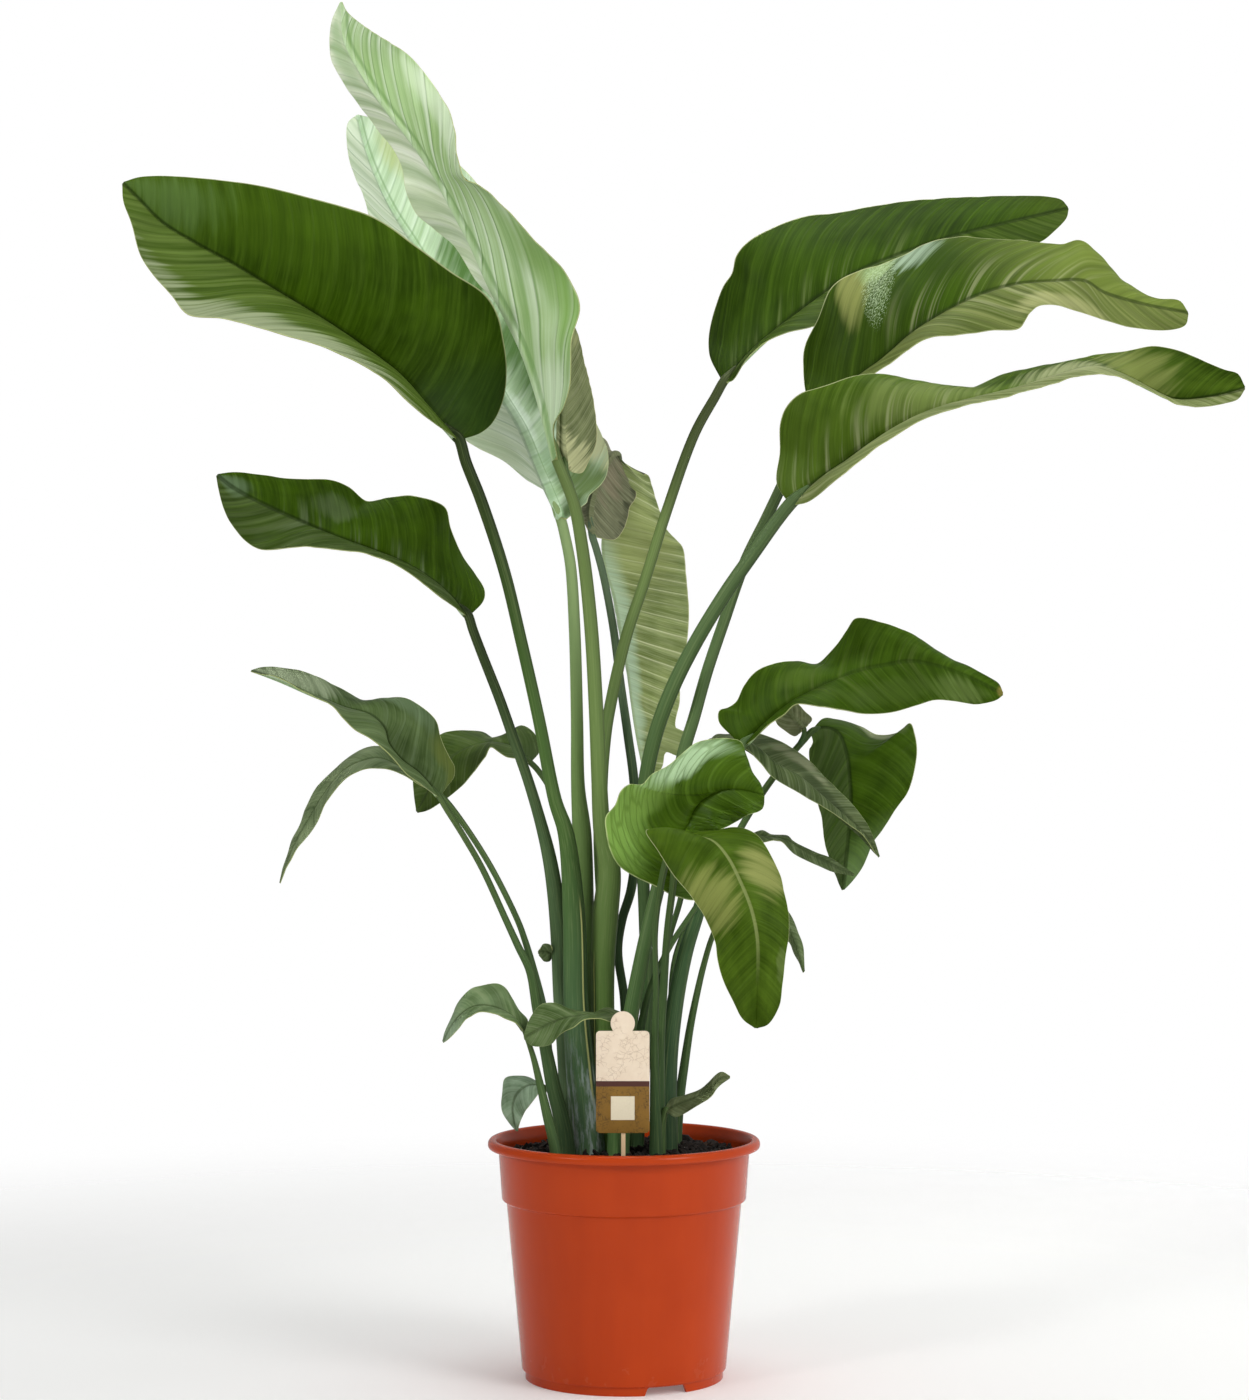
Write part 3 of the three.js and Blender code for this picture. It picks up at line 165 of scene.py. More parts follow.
# Each leaf: the stalk as [across, height, depth, radius] from the soil up, the rib as [across, height,
# depth] from the stalk to the tip, the two edges between the rib's ends as [across, height], right and left
# as seen looking along the growth. half is the true width of the right and the left half, leans tells
# whether a half leans away (1) or forward (-1), waves how many waves run along an edge and wave how deep
# they are. A small leaf has fewer rows and cells.
leaves = [
  {
    "name": "leaf_01", "shoot": "tall", "face": "upper", "half": [124, 110], "leans": [1, -1], "waves": 3,
    "wave": 5, "bow": [0.07, 0.05],
    "stalk": [[-36, 230, -14, 17], [-43, 301, -15, 15], [-48, 369, -16, 12.5], [-50, 461, -18, 11.5],
      [-58, 542, -22, 8], [-69, 576, -26, 6.8], [-85, 656, -34, 6.1], [-103, 736, -42, 5.9],
      [-120, 806, -48, 5.8], [-143, 876, -52, 5.8], [-158, 914, -54, 5.6]],
    "rib": [[-165, 937, -55], [-193, 966, -62], [-224, 1001, -70], [-268, 1035, -80], [-305, 1060, -88],
      [-349, 1087, -98], [-390, 1112, -106], [-430, 1134, -114], [-462, 1154, -120], [-484, 1176, -124],
      [-501, 1193, -126]],
    "right": [[-146, 943], [-133, 954], [-122, 979], [-119, 1007], [-121, 1032], [-127, 1060], [-140, 1081],
      [-174, 1104], [-208, 1129], [-249, 1157], [-321, 1179], [-368, 1190], [-415, 1196], [-455, 1199],
      [-485, 1198]],
    "left": [[-193, 957], [-212, 974], [-236, 996], [-274, 1017], [-312, 1034], [-377, 1053], [-405, 1058],
      [-436, 1062], [-452, 1082], [-471, 1104], [-483, 1123], [-491, 1151], [-500, 1176]],
  },
  {
    "name": "leaf_02", "shoot": "tall", "face": "under", "half": [94, 90], "leans": [-1, 1], "waves": 4,
    "wave": 4, "bow": [0.05, 0.05],
    "stalk": [[-18, 230, -2, 13.5], [-20, 300, -2, 12.2], [-21, 374, -2, 11.2], [-21, 415, -2, 12],
      [-18.5, 461, -2, 13.2], [-15, 507, -2, 11.8], [-22, 548, -2, 8.8], [-25, 600, -2, 7.8],
      [-28, 668, -2, 7.3], [-33, 750, -4, 6.9], [-41, 823, -6, 6.4], [-50, 872, -8, 6],
      [-61, 901, -10, 5.6]],
    "rib": [[-67, 916, -11], [-72, 937, -13], [-84, 981, -17], [-99, 1024, -22], [-114, 1055, -26],
      [-133, 1091, -30], [-151, 1131, -34], [-169, 1165, -38], [-191, 1205, -42], [-212, 1235, -46],
      [-237, 1266, -50], [-261, 1300, -56], [-280, 1336, -62], [-283, 1374, -70]],
    "right": [[-71, 950], [-62, 967], [-54, 992], [-52, 1037], [-45, 1067], [-50, 1085], [-62, 1107],
      [-90, 1137], [-123, 1172], [-148, 1191], [-162, 1200], [-166, 1217], [-169, 1244], [-174, 1263],
      [-185, 1281], [-203, 1306], [-218, 1322], [-243, 1338], [-264, 1352], [-278, 1364]],
    "left": [[-76, 938], [-80, 954], [-93, 1000], [-108, 1039], [-123, 1070], [-145, 1094], [-166, 1125],
      [-188, 1146], [-206, 1162], [-215, 1180], [-220, 1205], [-228, 1223], [-252, 1254], [-270, 1281],
      [-286, 1306], [-292, 1321], [-292, 1352]],
  },
  {
    "name": "leaf_03", "shoot": "tall", "face": "under", "half": [66, 86], "leans": [1, 1], "waves": 3,
    "wave": 4, "bow": [0.05, 0.05],
    "stalk": [[-38, 230, 15, 11], [-40, 340, 19, 10.5], [-40, 438, 22, 10.5], [-42, 540, 22, 10],
      [-46, 590, 22, 6.8], [-47, 658, 24, 6.2], [-49.5, 750, 30, 5.9], [-53.5, 811, 38, 5.6],
      [-59, 840, 44, 5.4]],
    "rib": [[-63, 856, 48], [-74, 882, 56], [-84, 905, 66], [-102, 948, 84], [-120, 978, 96],
      [-150, 1030, 112], [-182, 1086, 124], [-209, 1131, 132], [-231, 1165, 138], [-246, 1195, 142],
      [-258, 1226, 146], [-267, 1261, 150]],
    "right": [[-48, 868], [-40, 874], [-38, 880], [-25, 892], [-19, 903], [-18, 924], [-24, 940],
      [-40, 975], [-62, 1040], [-95, 1105], [-128, 1160], [-148, 1192], [-166, 1211], [-200, 1234],
      [-240, 1254]],
    "left": [[-66, 876], [-96, 898], [-120, 917], [-145, 929], [-165, 942], [-190, 970], [-215, 1015],
      [-234, 1060], [-247, 1110], [-254, 1163], [-258, 1180], [-270, 1205], [-276, 1232], [-275, 1254]],
  },
  {
    "name": "leaf_04", "shoot": "tall", "face": "under", "half": [40, 6], "leans": [1, 0], "waves": 2,
    "wave": 2, "bow": [0.06, 0], "small": True,
    "stalk": [[-50, 876, -7, 4], [-54, 892, -5, 3.4], [-58, 905, -5, 3]],
    "rib": [[-59, 914, -4], [-61, 932, -2], [-61, 950, 2], [-60, 975, 8], [-57, 1005, 12], [-54, 1037, 15],
      [-56, 1064, 17]],
    "right": [[-56, 908], [-50, 905], [-43, 905], [-36, 917], [-29, 934], [-29, 949], [-30, 964],
      [-33, 984], [-37, 1000], [-42, 1021], [-48, 1043]],
    "left": [[-65, 928], [-66, 950], [-64, 975], [-60, 1005], [-57, 1037]],
  },
  {
    "name": "leaf_05", "shoot": "tall", "face": "under", "half": [78, 60], "leans": [1, 1], "waves": 3,
    "wave": 4, "bow": [0.06, 0.05],
    "stalk": [[-4, 230, 11, 9.5], [0, 300, 18, 6.4], [2, 340, 23, 5.2], [0, 380, 26, 4.4],
      [-6, 425, 28, 4.4], [-2, 456, 29, 4.6], [7, 486, 30, 4.8], [12, 530, 33, 4.8], [10, 594, 38, 4.8],
      [4, 640, 46, 4.6], [-3, 689, 54, 4.3], [-11, 750, 66, 4.1], [-21, 802, 80, 3.9], [-28, 828, 90, 3.8]],
    "rib": [[-32, 841, 95], [-34, 866, 101], [-26, 896, 109], [-10, 922, 126], [-4, 914, 148],
      [-14, 880, 160], [-22, 837, 168], [-20, 810, 171], [-11, 781, 173], [-3, 738, 174], [3, 704, 174],
      [7, 673, 172], [12, 640, 168], [22, 591, 162]],
    "right": [[-12, 838], [-3, 847], [2, 860], [4, 870], [10, 880], [10, 889], [20, 903], [35, 866],
      [41, 848], [57, 830], [61, 802], [64, 765], [61, 725], [55, 698], [55, 676], [51, 649], [60, 643],
      [54, 621], [41, 624], [37, 609]],
    "left": [[-40, 858], [-43, 867], [-42, 890], [-34, 918], [-22, 938], [-12, 925], [-8, 890], [-14, 840],
      [-8, 790], [0, 740], [8, 700], [14, 660], [18, 625]],
  },
  {
    "name": "leaf_06", "shoot": "tall", "face": "upper", "half": [46, 92], "leans": [-1, 1], "waves": 3,
    "wave": 4, "bow": [0.05, 0.06],
    "stalk": [[-19, 468, 14, 8.5], [-23, 530, 18, 7.5], [-23, 590, 22, 6.8], [-20, 628, 24, 6.2],
      [-16, 658, 26, 6], [1, 735, 36, 5.9], [21, 796, 50, 5.7], [43, 866, 72, 5.5], [71, 943, 100, 5.2],
      [91, 979, 114, 5]],
    "rib": [[100, 995, 121], [120, 1018, 134], [146, 1042, 147], [191, 1077, 168], [234, 1105, 186],
      [286, 1126, 204], [321, 1138, 216], [380, 1153, 236], [420, 1162, 250], [444, 1168, 258]],
    "right": [[106, 996], [121, 1017], [142, 1035], [160, 1044], [191, 1052], [240, 1075], [300, 1100],
      [360, 1118], [416, 1135], [430, 1146], [442, 1159]],
    "left": [[88, 1018], [86, 1036], [90, 1060], [100, 1088], [109, 1102], [113, 1119], [125, 1133],
      [174, 1157], [216, 1163], [272, 1172], [321, 1177], [367, 1179], [426, 1178], [438, 1175]],
  },
  {
    "name": "leaf_07", "shoot": "front", "face": "upper", "half": [52, 88], "leans": [-1, 1], "waves": 4,
    "wave": 5, "bow": [0.05, 0.06],
    "stalk": [[-6, 230, -34, 11], [-2, 300, -33, 9.4], [7, 362, -32, 7.8], [17, 414, -30, 7.5],
      [26, 455, -26, 7.2], [40, 515, -18, 6.8], [59, 621, 0, 6.4], [70, 658, 8, 6.1], [83, 704, 18, 5.9],
      [99.5, 753, 28, 5.8], [121, 814, 40, 5.8], [142, 857, 46, 5.7], [158, 891, 50, 5.6],
      [178, 935, 54, 5.4]],
    "rib": [[192, 962, 58], [212, 982, 62], [234, 1000, 66], [258, 1017, 70], [286, 1042, 76],
      [321, 1065, 84], [356, 1082, 92], [391, 1092, 100], [426, 1095, 108], [461, 1095, 116],
      [479, 1084, 120], [516, 1073, 130], [564, 1063, 142]],
    "right": [[214, 974], [236, 994], [258, 1011], [286, 1028], [304, 1038], [339, 1043], [367, 1047],
      [395, 1048], [405, 1063], [416, 1071], [433, 1072], [454, 1066], [479, 1057], [510, 1049],
      [545, 1047], [561, 1052]],
    "left": [[184, 982], [181, 1005], [182, 1028], [195, 1056], [209, 1088], [230, 1102], [258, 1112],
      [283, 1121], [300, 1130], [328, 1137], [374, 1137], [409, 1134], [437, 1130], [454, 1134],
      [465, 1130], [482, 1114], [503, 1093], [531, 1077], [556, 1074]],
  },
  {
    "name": "leaf_08", "shoot": "tall", "face": "upper", "half": [66, 78], "leans": [-1, 1], "waves": 3,
    "wave": 4, "bow": [0.05, 0.06],
    "stalk": [[11, 230, 15, 9.5], [18, 300, 14, 7.6], [23, 386, 12, 6.2], [21, 446, 12, 6],
      [19.5, 491, 12, 6.2], [17, 540, 9, 6.8], [20, 585, 4, 7.3], [31, 640, -4, 7.5], [49, 689, -12, 7.4],
      [73, 736, -19, 7.2], [103, 785, -25, 7], [131, 825, -30, 6.8], [154, 857, -33, 6.5]],
    "rib": [[167, 873, -35], [191, 895, -40], [223, 916, -46], [258, 940, -54], [300, 962, -64],
      [345, 976, -74], [400, 990, -86], [440, 1003, -96], [470, 1010, -104], [496, 1003, -112],
      [528, 986, -122], [549, 977, -128], [590, 980, -140], [621, 988, -148]],
    "right": [[181, 876], [216, 902], [251, 930], [286, 952], [321, 965], [377, 978], [426, 993],
      [465, 1002], [496, 998], [531, 983], [559, 972], [577, 971], [601, 974], [614, 978]],
    "left": [[156, 891], [158, 923], [158, 951], [164, 968], [177, 981], [202, 989], [230, 999],
      [258, 1001], [286, 997], [314, 991], [337, 986], [358, 992], [381, 1002], [409, 1007], [444, 1014],
      [479, 1022], [510, 1026], [531, 1029], [556, 1024], [584, 1012], [601, 1005], [614, 1001]],
  },
  {
    "name": "leaf_09", "shoot": "tall", "face": "upper", "half": [74, 56], "leans": [1, -1], "waves": 3,
    "wave": 5, "bow": [0.06, 0.05],
    "stalk": [[-52, 230, 2, 11], [-57, 324, 2, 10], [-61, 381, 2, 10], [-64, 438, 0, 9.5], [-69, 484, 0, 8],
      [-75, 520, -2, 7], [-84, 556, -4, 5.8], [-96, 596, -6, 5.3], [-110, 636, -8, 5.2],
      [-124, 676, -10, 5.1], [-142, 722, -12, 4.9], [-151, 746, -13, 4.8]],
    "rib": [[-156, 761, -14], [-180, 787, -18], [-212, 809, -24], [-249, 825, -32], [-280, 837, -38],
      [-321, 854, -46], [-362, 873, -54], [-390, 888, -60], [-407, 901, -64]],
    "right": [[-143, 774], [-141, 784], [-150, 802], [-162, 820], [-174, 848], [-179, 867], [-190, 874],
      [-212, 879], [-236, 878], [-258, 875], [-277, 889], [-293, 895], [-330, 896], [-355, 899],
      [-390, 903]],
    "left": [[-177, 776], [-199, 793], [-230, 812], [-262, 824], [-293, 829], [-330, 829], [-365, 828],
      [-387, 846], [-399, 867], [-405, 889]],
  },
  {
    "name": "leaf_10", "shoot": "left", "face": "upper", "half": [58, 48], "leans": [1, -1], "waves": 3,
    "wave": 4, "bow": [0.06, 0.05],
    "stalk": [[-58, 230, -40, 9], [-62, 255, -40, 8], [-70, 287, -41, 7.5], [-79, 331, -42, 6],
      [-87, 368, -44, 5], [-94, 405, -46, 4.2], [-106, 430, -49, 3.6], [-118, 456, -52, 3.3],
      [-142, 508, -58, 3.1], [-161, 541, -62, 3], [-178, 568, -66, 3]],
    "rib": [[-185, 580, -68], [-204, 602, -74], [-225, 618, -80], [-236, 633, -84], [-240, 648, -88],
      [-253, 661, -92], [-280, 669, -100], [-312, 681, -110], [-345, 695, -120], [-373, 705, -128]],
    "right": [[-178, 590], [-172, 598], [-171, 608], [-176, 618], [-184, 639], [-188, 654], [-198, 665],
      [-219, 676], [-240, 678], [-259, 676], [-289, 690], [-317, 702], [-338, 708], [-363, 708]],
    "left": [[-191, 584], [-216, 603], [-243, 630], [-271, 650], [-292, 669], [-323, 687], [-344, 699],
      [-363, 702]],
  },
  {
    "name": "leaf_11", "shoot": "left", "face": "upper", "half": [26, 22], "leans": [1, -1], "waves": 2,
    "wave": 3, "bow": [0.06, 0.05], "small": True,
    "stalk": [[-76, 318, -40, 5], [-80, 362, -38, 4.4], [-92, 412, -36, 3.6], [-99.5, 437, -35, 3.2],
      [-106.5, 456, -34, 3], [-132.5, 508, -30, 3], [-157, 547, -28, 3], [-177, 574, -26, 3]],
    "rib": [[-188, 585, -25], [-210, 599, -24], [-228, 611, -24], [-245, 618, -25], [-265, 614, -28],
      [-282, 604, -32], [-300, 582, -36], [-314, 559, -40], [-325, 540, -43], [-334, 520, -46],
      [-344, 493, -50]],
    "right": [[-200, 602], [-216, 616], [-243, 630], [-265, 625], [-280, 615], [-302, 593], [-317, 569],
      [-323, 553], [-332, 535], [-340, 511]],
    "left": [[-204, 592], [-222, 603], [-240, 609], [-265, 605], [-283, 593], [-299, 572], [-311, 549],
      [-326, 529], [-338, 508]],
  },
  {
    "name": "leaf_12", "shoot": "tall", "face": "upper", "half": [40, 44], "leans": [1, -1], "waves": 2,
    "wave": 4, "bow": [0.06, 0.05], "small": True,
    "stalk": [[-45, 470, 26, 6], [-48, 510, 30, 4.4], [-54, 546, 34, 3.6], [-66, 574, 37, 3.2],
      [-79, 596, 39, 3], [-88, 608, 40, 3]],
    "rib": [[-94, 614, 41], [-106, 627, 43], [-124, 633, 46], [-146, 632, 51], [-168, 622, 57],
      [-188, 598, 61], [-207, 564, 62]],
    "right": [[-86, 624], [-90, 640], [-104, 650], [-118, 641], [-130, 638], [-142, 644], [-170, 644],
      [-182, 641], [-200, 625], [-210, 597]],
    "left": [[-102, 617], [-116, 620], [-133, 630], [-139, 618], [-155, 599], [-179, 578], [-198, 566]],
  },
  {
    "name": "leaf_13", "shoot": "low", "face": "upper", "half": [42, 74], "leans": [-0.3, 1], "waves": 3,
    "wave": 5, "bow": [0.08, 0.12], "peak": 0.45,
    "stalk": [[36, 230, -24, 6], [36, 330, -28, 5], [40, 395, -35, 4], [43.5, 446, -52, 3.5],
      [49, 491, -70, 3.6], [52, 524, -72, 4]],
    "rib": [[53, 538, -59], [58, 553, -62], [71, 571, -70], [84, 580, -76], [100, 586, -82],
      [118, 586, -86], [140, 581, -88]],
    "right": [[66, 539], [80, 540], [90, 544], [107, 552], [123, 562], [135, 566], [139, 570]],
    "left": [[82, 512], [74, 479], [50, 482], [32, 491], [9, 502], [-4, 511], [-12, 525], [-16, 542],
      [-17, 558], [-8, 570], [-2, 585], [7, 592], [19, 592], [29, 602], [45, 610], [58, 621], [72, 632],
      [90, 636], [107, 636], [117, 633], [123, 619], [129, 603], [137, 591]],
  },
  {
    "name": "leaf_14", "shoot": "low", "face": "upper", "half": [52, 50], "leans": [1, 1], "waves": 3,
    "wave": 4, "bow": [0.08, 0.08], "peak": 0.5,
    "stalk": [[32, 230, -37.5, 6.8], [30.5, 325, -52, 3.8], [32, 389, -64, 3], [31, 439, -78, 2.9],
      [34, 473, -90, 3.1], [41, 510, -104, 3.6], [47, 526, -110, 3.9]],
    "rib": [[54, 538, -116], [68, 540, -122], [82, 538, -128], [92, 533, -132], [105, 517, -138],
      [117, 493, -143], [127, 468, -146], [133, 440, -147], [134, 415, -146], [133, 385, -142],
      [132, 348, -134]],
    "right": [[38, 546], [24, 545], [37, 524], [51, 501], [66, 483], [78, 466], [88, 446], [93, 432],
      [95, 415], [100, 397], [111, 374], [119, 358]],
    "left": [[72, 543], [90, 545], [104, 548], [117, 547], [131, 540], [145, 521], [156, 497], [163, 464],
      [163, 442], [160, 415], [157, 391], [154, 370], [143, 352]],
  },
  {
    "name": "leaf_15", "shoot": "right", "face": "upper", "half": [48, 56], "leans": [-1, 1], "waves": 3,
    "wave": 4, "bow": [0.05, 0.07],
    "stalk": [[43, 230, 6, 11], [43, 286, 6, 10], [45, 325, 6, 9.4], [52, 378, 5, 8.4], [62, 425, 3, 7.4],
      [76, 470, 0, 6.4], [88, 520, -3, 5.8], [100, 571, -7, 5.2], [112, 614, -12, 4.8]],
    "rib": [[119, 632, -15], [138, 650, -18], [158, 667, -22], [178, 680, -27], [209, 696, -34],
      [235, 706, -40], [260, 711, -46], [288, 715, -52], [322, 708, -60], [350, 697, -66], [379, 682, -74]],
    "right": [[129, 639], [141, 650], [158, 662], [172, 673], [198, 670], [223, 665], [245, 663],
      [268, 665], [290, 671], [311, 677], [329, 676], [351, 673], [372, 677]],
    "left": [[109, 641], [97, 654], [97, 665], [105, 668], [113, 674], [121, 690], [133, 703], [154, 712],
      [174, 714], [194, 712], [211, 729], [223, 745], [231, 756], [239, 757], [256, 753], [280, 745],
      [296, 736], [317, 723], [341, 710], [366, 697], [375, 691]],
  },
  {
    "name": "leaf_16", "shoot": "front", "face": "upper", "half": [44, 68], "leans": [1, 1], "waves": 3,
    "wave": 4, "bow": [0.06, 0.06],
    "stalk": [[-2, 230, -26, 7], [7, 300, -21, 5], [17, 350, -18, 4.1], [27, 389, -16, 3.3],
      [45, 428, -15, 2.9], [74, 472, -16, 2.9], [99, 514, -6, 3.2], [119, 552, 30, 3.5],
      [139, 584, 48, 3.5], [158, 610, 53, 3.4], [172, 627, 56, 3.3], [180, 636, 57, 3.3]],
    "rib": [[188, 645, 58], [198, 649, 58], [208, 648, 59], [216, 642, 60], [223, 622, 62], [226, 597, 64],
      [227, 574, 65], [225, 545, 65], [222, 515, 64], [219, 486, 62]],
    "right": [[190, 636], [187, 628], [187, 614], [191, 596], [198, 560], [202, 535], [209, 511],
      [215, 495]],
    "left": [[198, 655], [212, 655], [227, 652], [237, 648], [251, 640], [272, 643], [285, 652], [290, 641],
      [292, 625], [289, 603], [282, 582], [270, 566], [260, 550], [250, 535], [244, 523], [235, 505],
      [225, 492]],
  },
  {
    "name": "leaf_17", "shoot": "right", "face": "upper", "half": [26, 30], "leans": [-1, 1], "waves": 2,
    "wave": 2, "bow": [0.3, 0.06],
    "stalk": [[38, 230, 18, 6], [34, 330, 26, 4], [37, 401, 27, 3.3], [46, 441, 25, 3], [57, 479, 22, 3],
      [68, 550, 20, 3.2], [78, 616, 19, 3.4]],
    "rib": [[86, 634, 19], [104, 635, 19], [120, 630, 18], [147, 612, 15], [173, 600, 12], [192, 582, 9],
      [210, 564, 7], [235, 541, 3], [255, 519, 0]],
    "right": [[104, 630], [121, 627], [137, 614], [148, 601], [178, 582], [214, 560], [238, 543]],
    "left": [[92, 640], [102, 641], [133, 642], [154, 635], [172, 624], [190, 609], [211, 588], [227, 572],
      [241, 554], [250, 535]],
  },
  {
    "name": "leaf_18", "shoot": "right", "face": "upper", "half": [9, 9], "leans": [-1, 1], "waves": 2,
    "wave": 1.5, "bow": [0.1, 0.1], "small": True,
    "stalk": [[44, 230, 25, 5.5], [47, 330, 30, 3.6], [52, 420, 32, 3.3], [80, 480, 34, 3],
      [108, 524, 34, 2.8]],
    "rib": [[122, 537, 33], [136, 541, 33], [150, 538, 33], [165, 535, 32], [182, 525, 31], [207, 512, 29],
      [230, 501, 27]],
    "right": [[137, 535], [157, 535], [170, 523], [188, 514], [211, 505]],
    "left": [[138, 545], [147, 541], [164, 539], [168, 534], [207, 516]],
  },
  {
    "name": "leaf_19", "shoot": "back", "face": "upper", "half": [16, 16], "leans": [1, 1], "waves": 2,
    "wave": 2, "bow": [0.06, 0.06], "small": True,
    "stalk": [[52, 230, 62, 6.5], [56, 281, 60, 5], [60, 309, 58, 4.6], [66, 348, 54, 3.9],
      [72, 378, 50, 3.5], [80, 412, 44, 3.1], [89, 441, 36, 2.8], [102, 466, 24, 2.6]],
    "rib": [[114, 480, 12], [130, 482, 4], [148, 472, -4], [162, 454, -10], [172, 432, -14],
      [180, 404, -18]],
    "right": [[124, 470], [138, 458], [152, 446], [165, 436], [172, 422]],
    "left": [[126, 489], [145, 486], [162, 466], [172, 448], [178, 427]],
  },
  {
    "name": "leaf_20", "shoot": "small", "face": "upper", "half": [26, 22], "leans": [1, -1], "waves": 2,
    "wave": 2.5, "bow": [0.06, 0.06], "small": True,
    "stalk": [[-68, 230, -70, 6], [-77, 262, -70, 4.8], [-84, 292, -71, 3.8], [-91, 320, -72, 2.8],
      [-97, 338, -72, 2.4]],
    "rib": [[-100, 346, -73], [-112, 360, -76], [-128, 368, -80], [-146, 370, -86], [-160, 364, -92],
      [-172, 351, -97], [-181, 334, -102]],
    "right": [[-97, 355], [-106, 366], [-112, 377], [-119, 388], [-127, 392], [-143, 389], [-153, 386],
      [-165, 374], [-172, 359], [-178, 345]],
    "left": [[-108, 354], [-119, 359], [-128, 363], [-143, 364], [-153, 361], [-159, 358], [-166, 348],
      [-174, 339]],
  },
  {
    "name": "leaf_21", "shoot": "front", "face": "upper", "half": [20, 22], "leans": [1, -1], "waves": 2,
    "wave": 2, "bow": [0.06, 0.06], "small": True,
    "stalk": [[0, 230, -42, 5.6], [5, 280, -53, 4.2], [10, 330, -60, 3.6], [8, 352, -64, 3]],
    "rib": [[1, 361, -68], [-18, 362, -73], [-38, 361, -77], [-58, 358, -80], [-75, 352, -82],
      [-90, 344, -84], [-100, 338, -85]],
    "right": [[-18, 367], [-30, 363], [-40, 364], [-53, 367], [-65, 371], [-77, 372], [-83, 370],
      [-91, 361], [-97, 349]],
    "left": [[-12, 355], [-24, 358], [-40, 356], [-50, 350], [-59, 346], [-66, 341], [-72, 334], [-80, 331],
      [-91, 331], [-96, 334]],
  },
  {
    "name": "leaf_22", "shoot": "left", "face": "upper", "half": [18, 18], "leans": [1, -1], "waves": 2,
    "wave": 2, "bow": [0.06, 0.06], "small": True,
    "stalk": [[-62, 246, -38, 4.5], [-67, 268, -36, 3.6], [-74, 284, -36, 2.8], [-80, 289, -37, 2.4]],
    "rib": [[-85, 291, -38], [-97, 290, -42], [-107, 282, -46], [-111, 270, -48], [-110, 258, -48],
      [-107, 245, -48]],
    "right": [[-91, 296], [-102, 299], [-118, 297], [-121, 280], [-121, 267], [-115, 254]],
    "left": [[-86, 285], [-91, 277], [-100, 265], [-106, 251]],
  },
  {
    "name": "leaf_23", "shoot": "low", "face": "upper", "half": [12, 12], "leans": [-1, 1], "waves": 2,
    "wave": 1.5, "bow": [0.06, 0.06], "small": True,
    "stalk": [[37, 230, -32, 5], [39, 256, -32, 3.4]],
    "rib": [[42, 266, -31], [56, 273, -34], [72, 279, -38], [86, 287, -42], [97, 298, -46], [106, 299, -49]],
    "right": [[51, 261], [71, 270], [87, 280], [94, 290]],
    "left": [[48, 276], [74, 284], [84, 292], [97, 303]],
  },
  {
    "name": "leaf_24", "shoot": "tall", "face": "upper", "half": [8, 8], "leans": [-1, 1], "waves": 1,
    "wave": 0.6, "bow": [0.06, 0.06], "small": True,
    "stalk": [[-62, 404, 2, 4], [-66, 412, 1, 3], [-69, 418, 0, 2]],
    "rib": [[-71, 422, -1], [-76, 424, -3], [-81, 424, -5], [-86, 424, -7]],
    "right": [[-74, 430], [-80, 431]],
    "left": [[-74, 416], [-80, 416]],
  },
  {
    "name": "leaf_25", "shoot": "front", "face": "under", "half": [14, 16], "leans": [1, 1], "waves": 1,
    "wave": 1, "bow": [0.06, 0.06], "small": True,
    "stalk": [[176, 632, 56, 3], [180, 641, 52, 2.6]],
    "rib": [[180, 647, 48], [175, 653, 46], [168, 660, 44], [160, 668, 42]],
    "right": [[187, 656], [180, 664], [171, 672]],
    "left": [[172, 641], [162, 646], [154, 653], [152, 661]],
  },
]


def inSpace(points):
    # [across, height, depth], the first two on the upright plane through the pot's axis, to points in space
    # that the camera sees at the same spot
    points = np.asarray(points, float)
    spread = 1 + points[..., 2] / sight["distance"]
    up = sight["height"] + (points[..., 1] - sight["height"]) * spread
    return np.stack([points[..., 0] * spread, points[..., 2], up], -1)


def bend(a, b, c, d, w):
    # the point at share w of the way from b to c, on a curve that also heeds a and d
    before, here, after = (max(np.sum((q - r) ** 2) ** 0.25, 1e-4) for q, r in ((b, a), (c, b), (d, c)))
    start = here * ((b - a) / before - (c - a) / (before + here) + (c - b) / here)
    stop = here * ((c - b) / here - (d - b) / (here + after) + (d - c) / after)
    square = -3 * b + 3 * c - 2 * start - stop
    cube = 2 * b - 2 * c + start + stop
    return b + start * w + square * w ** 2 + cube * w ** 3


def withEnds(points):
    # the points with one more before the first and after the last, straight on
    return np.vstack([2 * points[0] - points[1], points, 2 * points[-1] - points[-2]])


def distances(points):
    # how far along the line each point lies
    return np.r_[0, np.cumsum(np.linalg.norm(np.diff(points, axis=0), axis=1))]


def smoothLine(points, samples=48):
    # a curve through the points, as a function of the share of its length
    p = np.array([[*q, 0][:3] for q in points], float)
    ends = withEnds(p)
    w = np.linspace(0, 1, samples, endpoint=False)[:, None]
    runs = [bend(*ends[k:k + 4], w) for k in range(len(p) - 1)]
    line = np.vstack([*runs, p[-1:]])
    length = distances(line)
    return lambda u: np.stack([np.interp(u, length / length[-1], line[:, k]) for k in range(3)], -1)


def unit(vectors):
    return vectors / np.maximum(np.linalg.norm(vectors, axis=-1, keepdims=True), 1e-9)


def soften(values, width):
    # a running average that keeps the two ends where they are
    before, after = values[width:0:-1], values[-2:-width - 2:-1]
    padded = np.r_[2 * values[0] - before, values, 2 * values[-1] - after]
    weights = np.hanning(2 * width + 3)[1:-1]
    return np.convolve(padded, weights / weights.sum(), "valid")


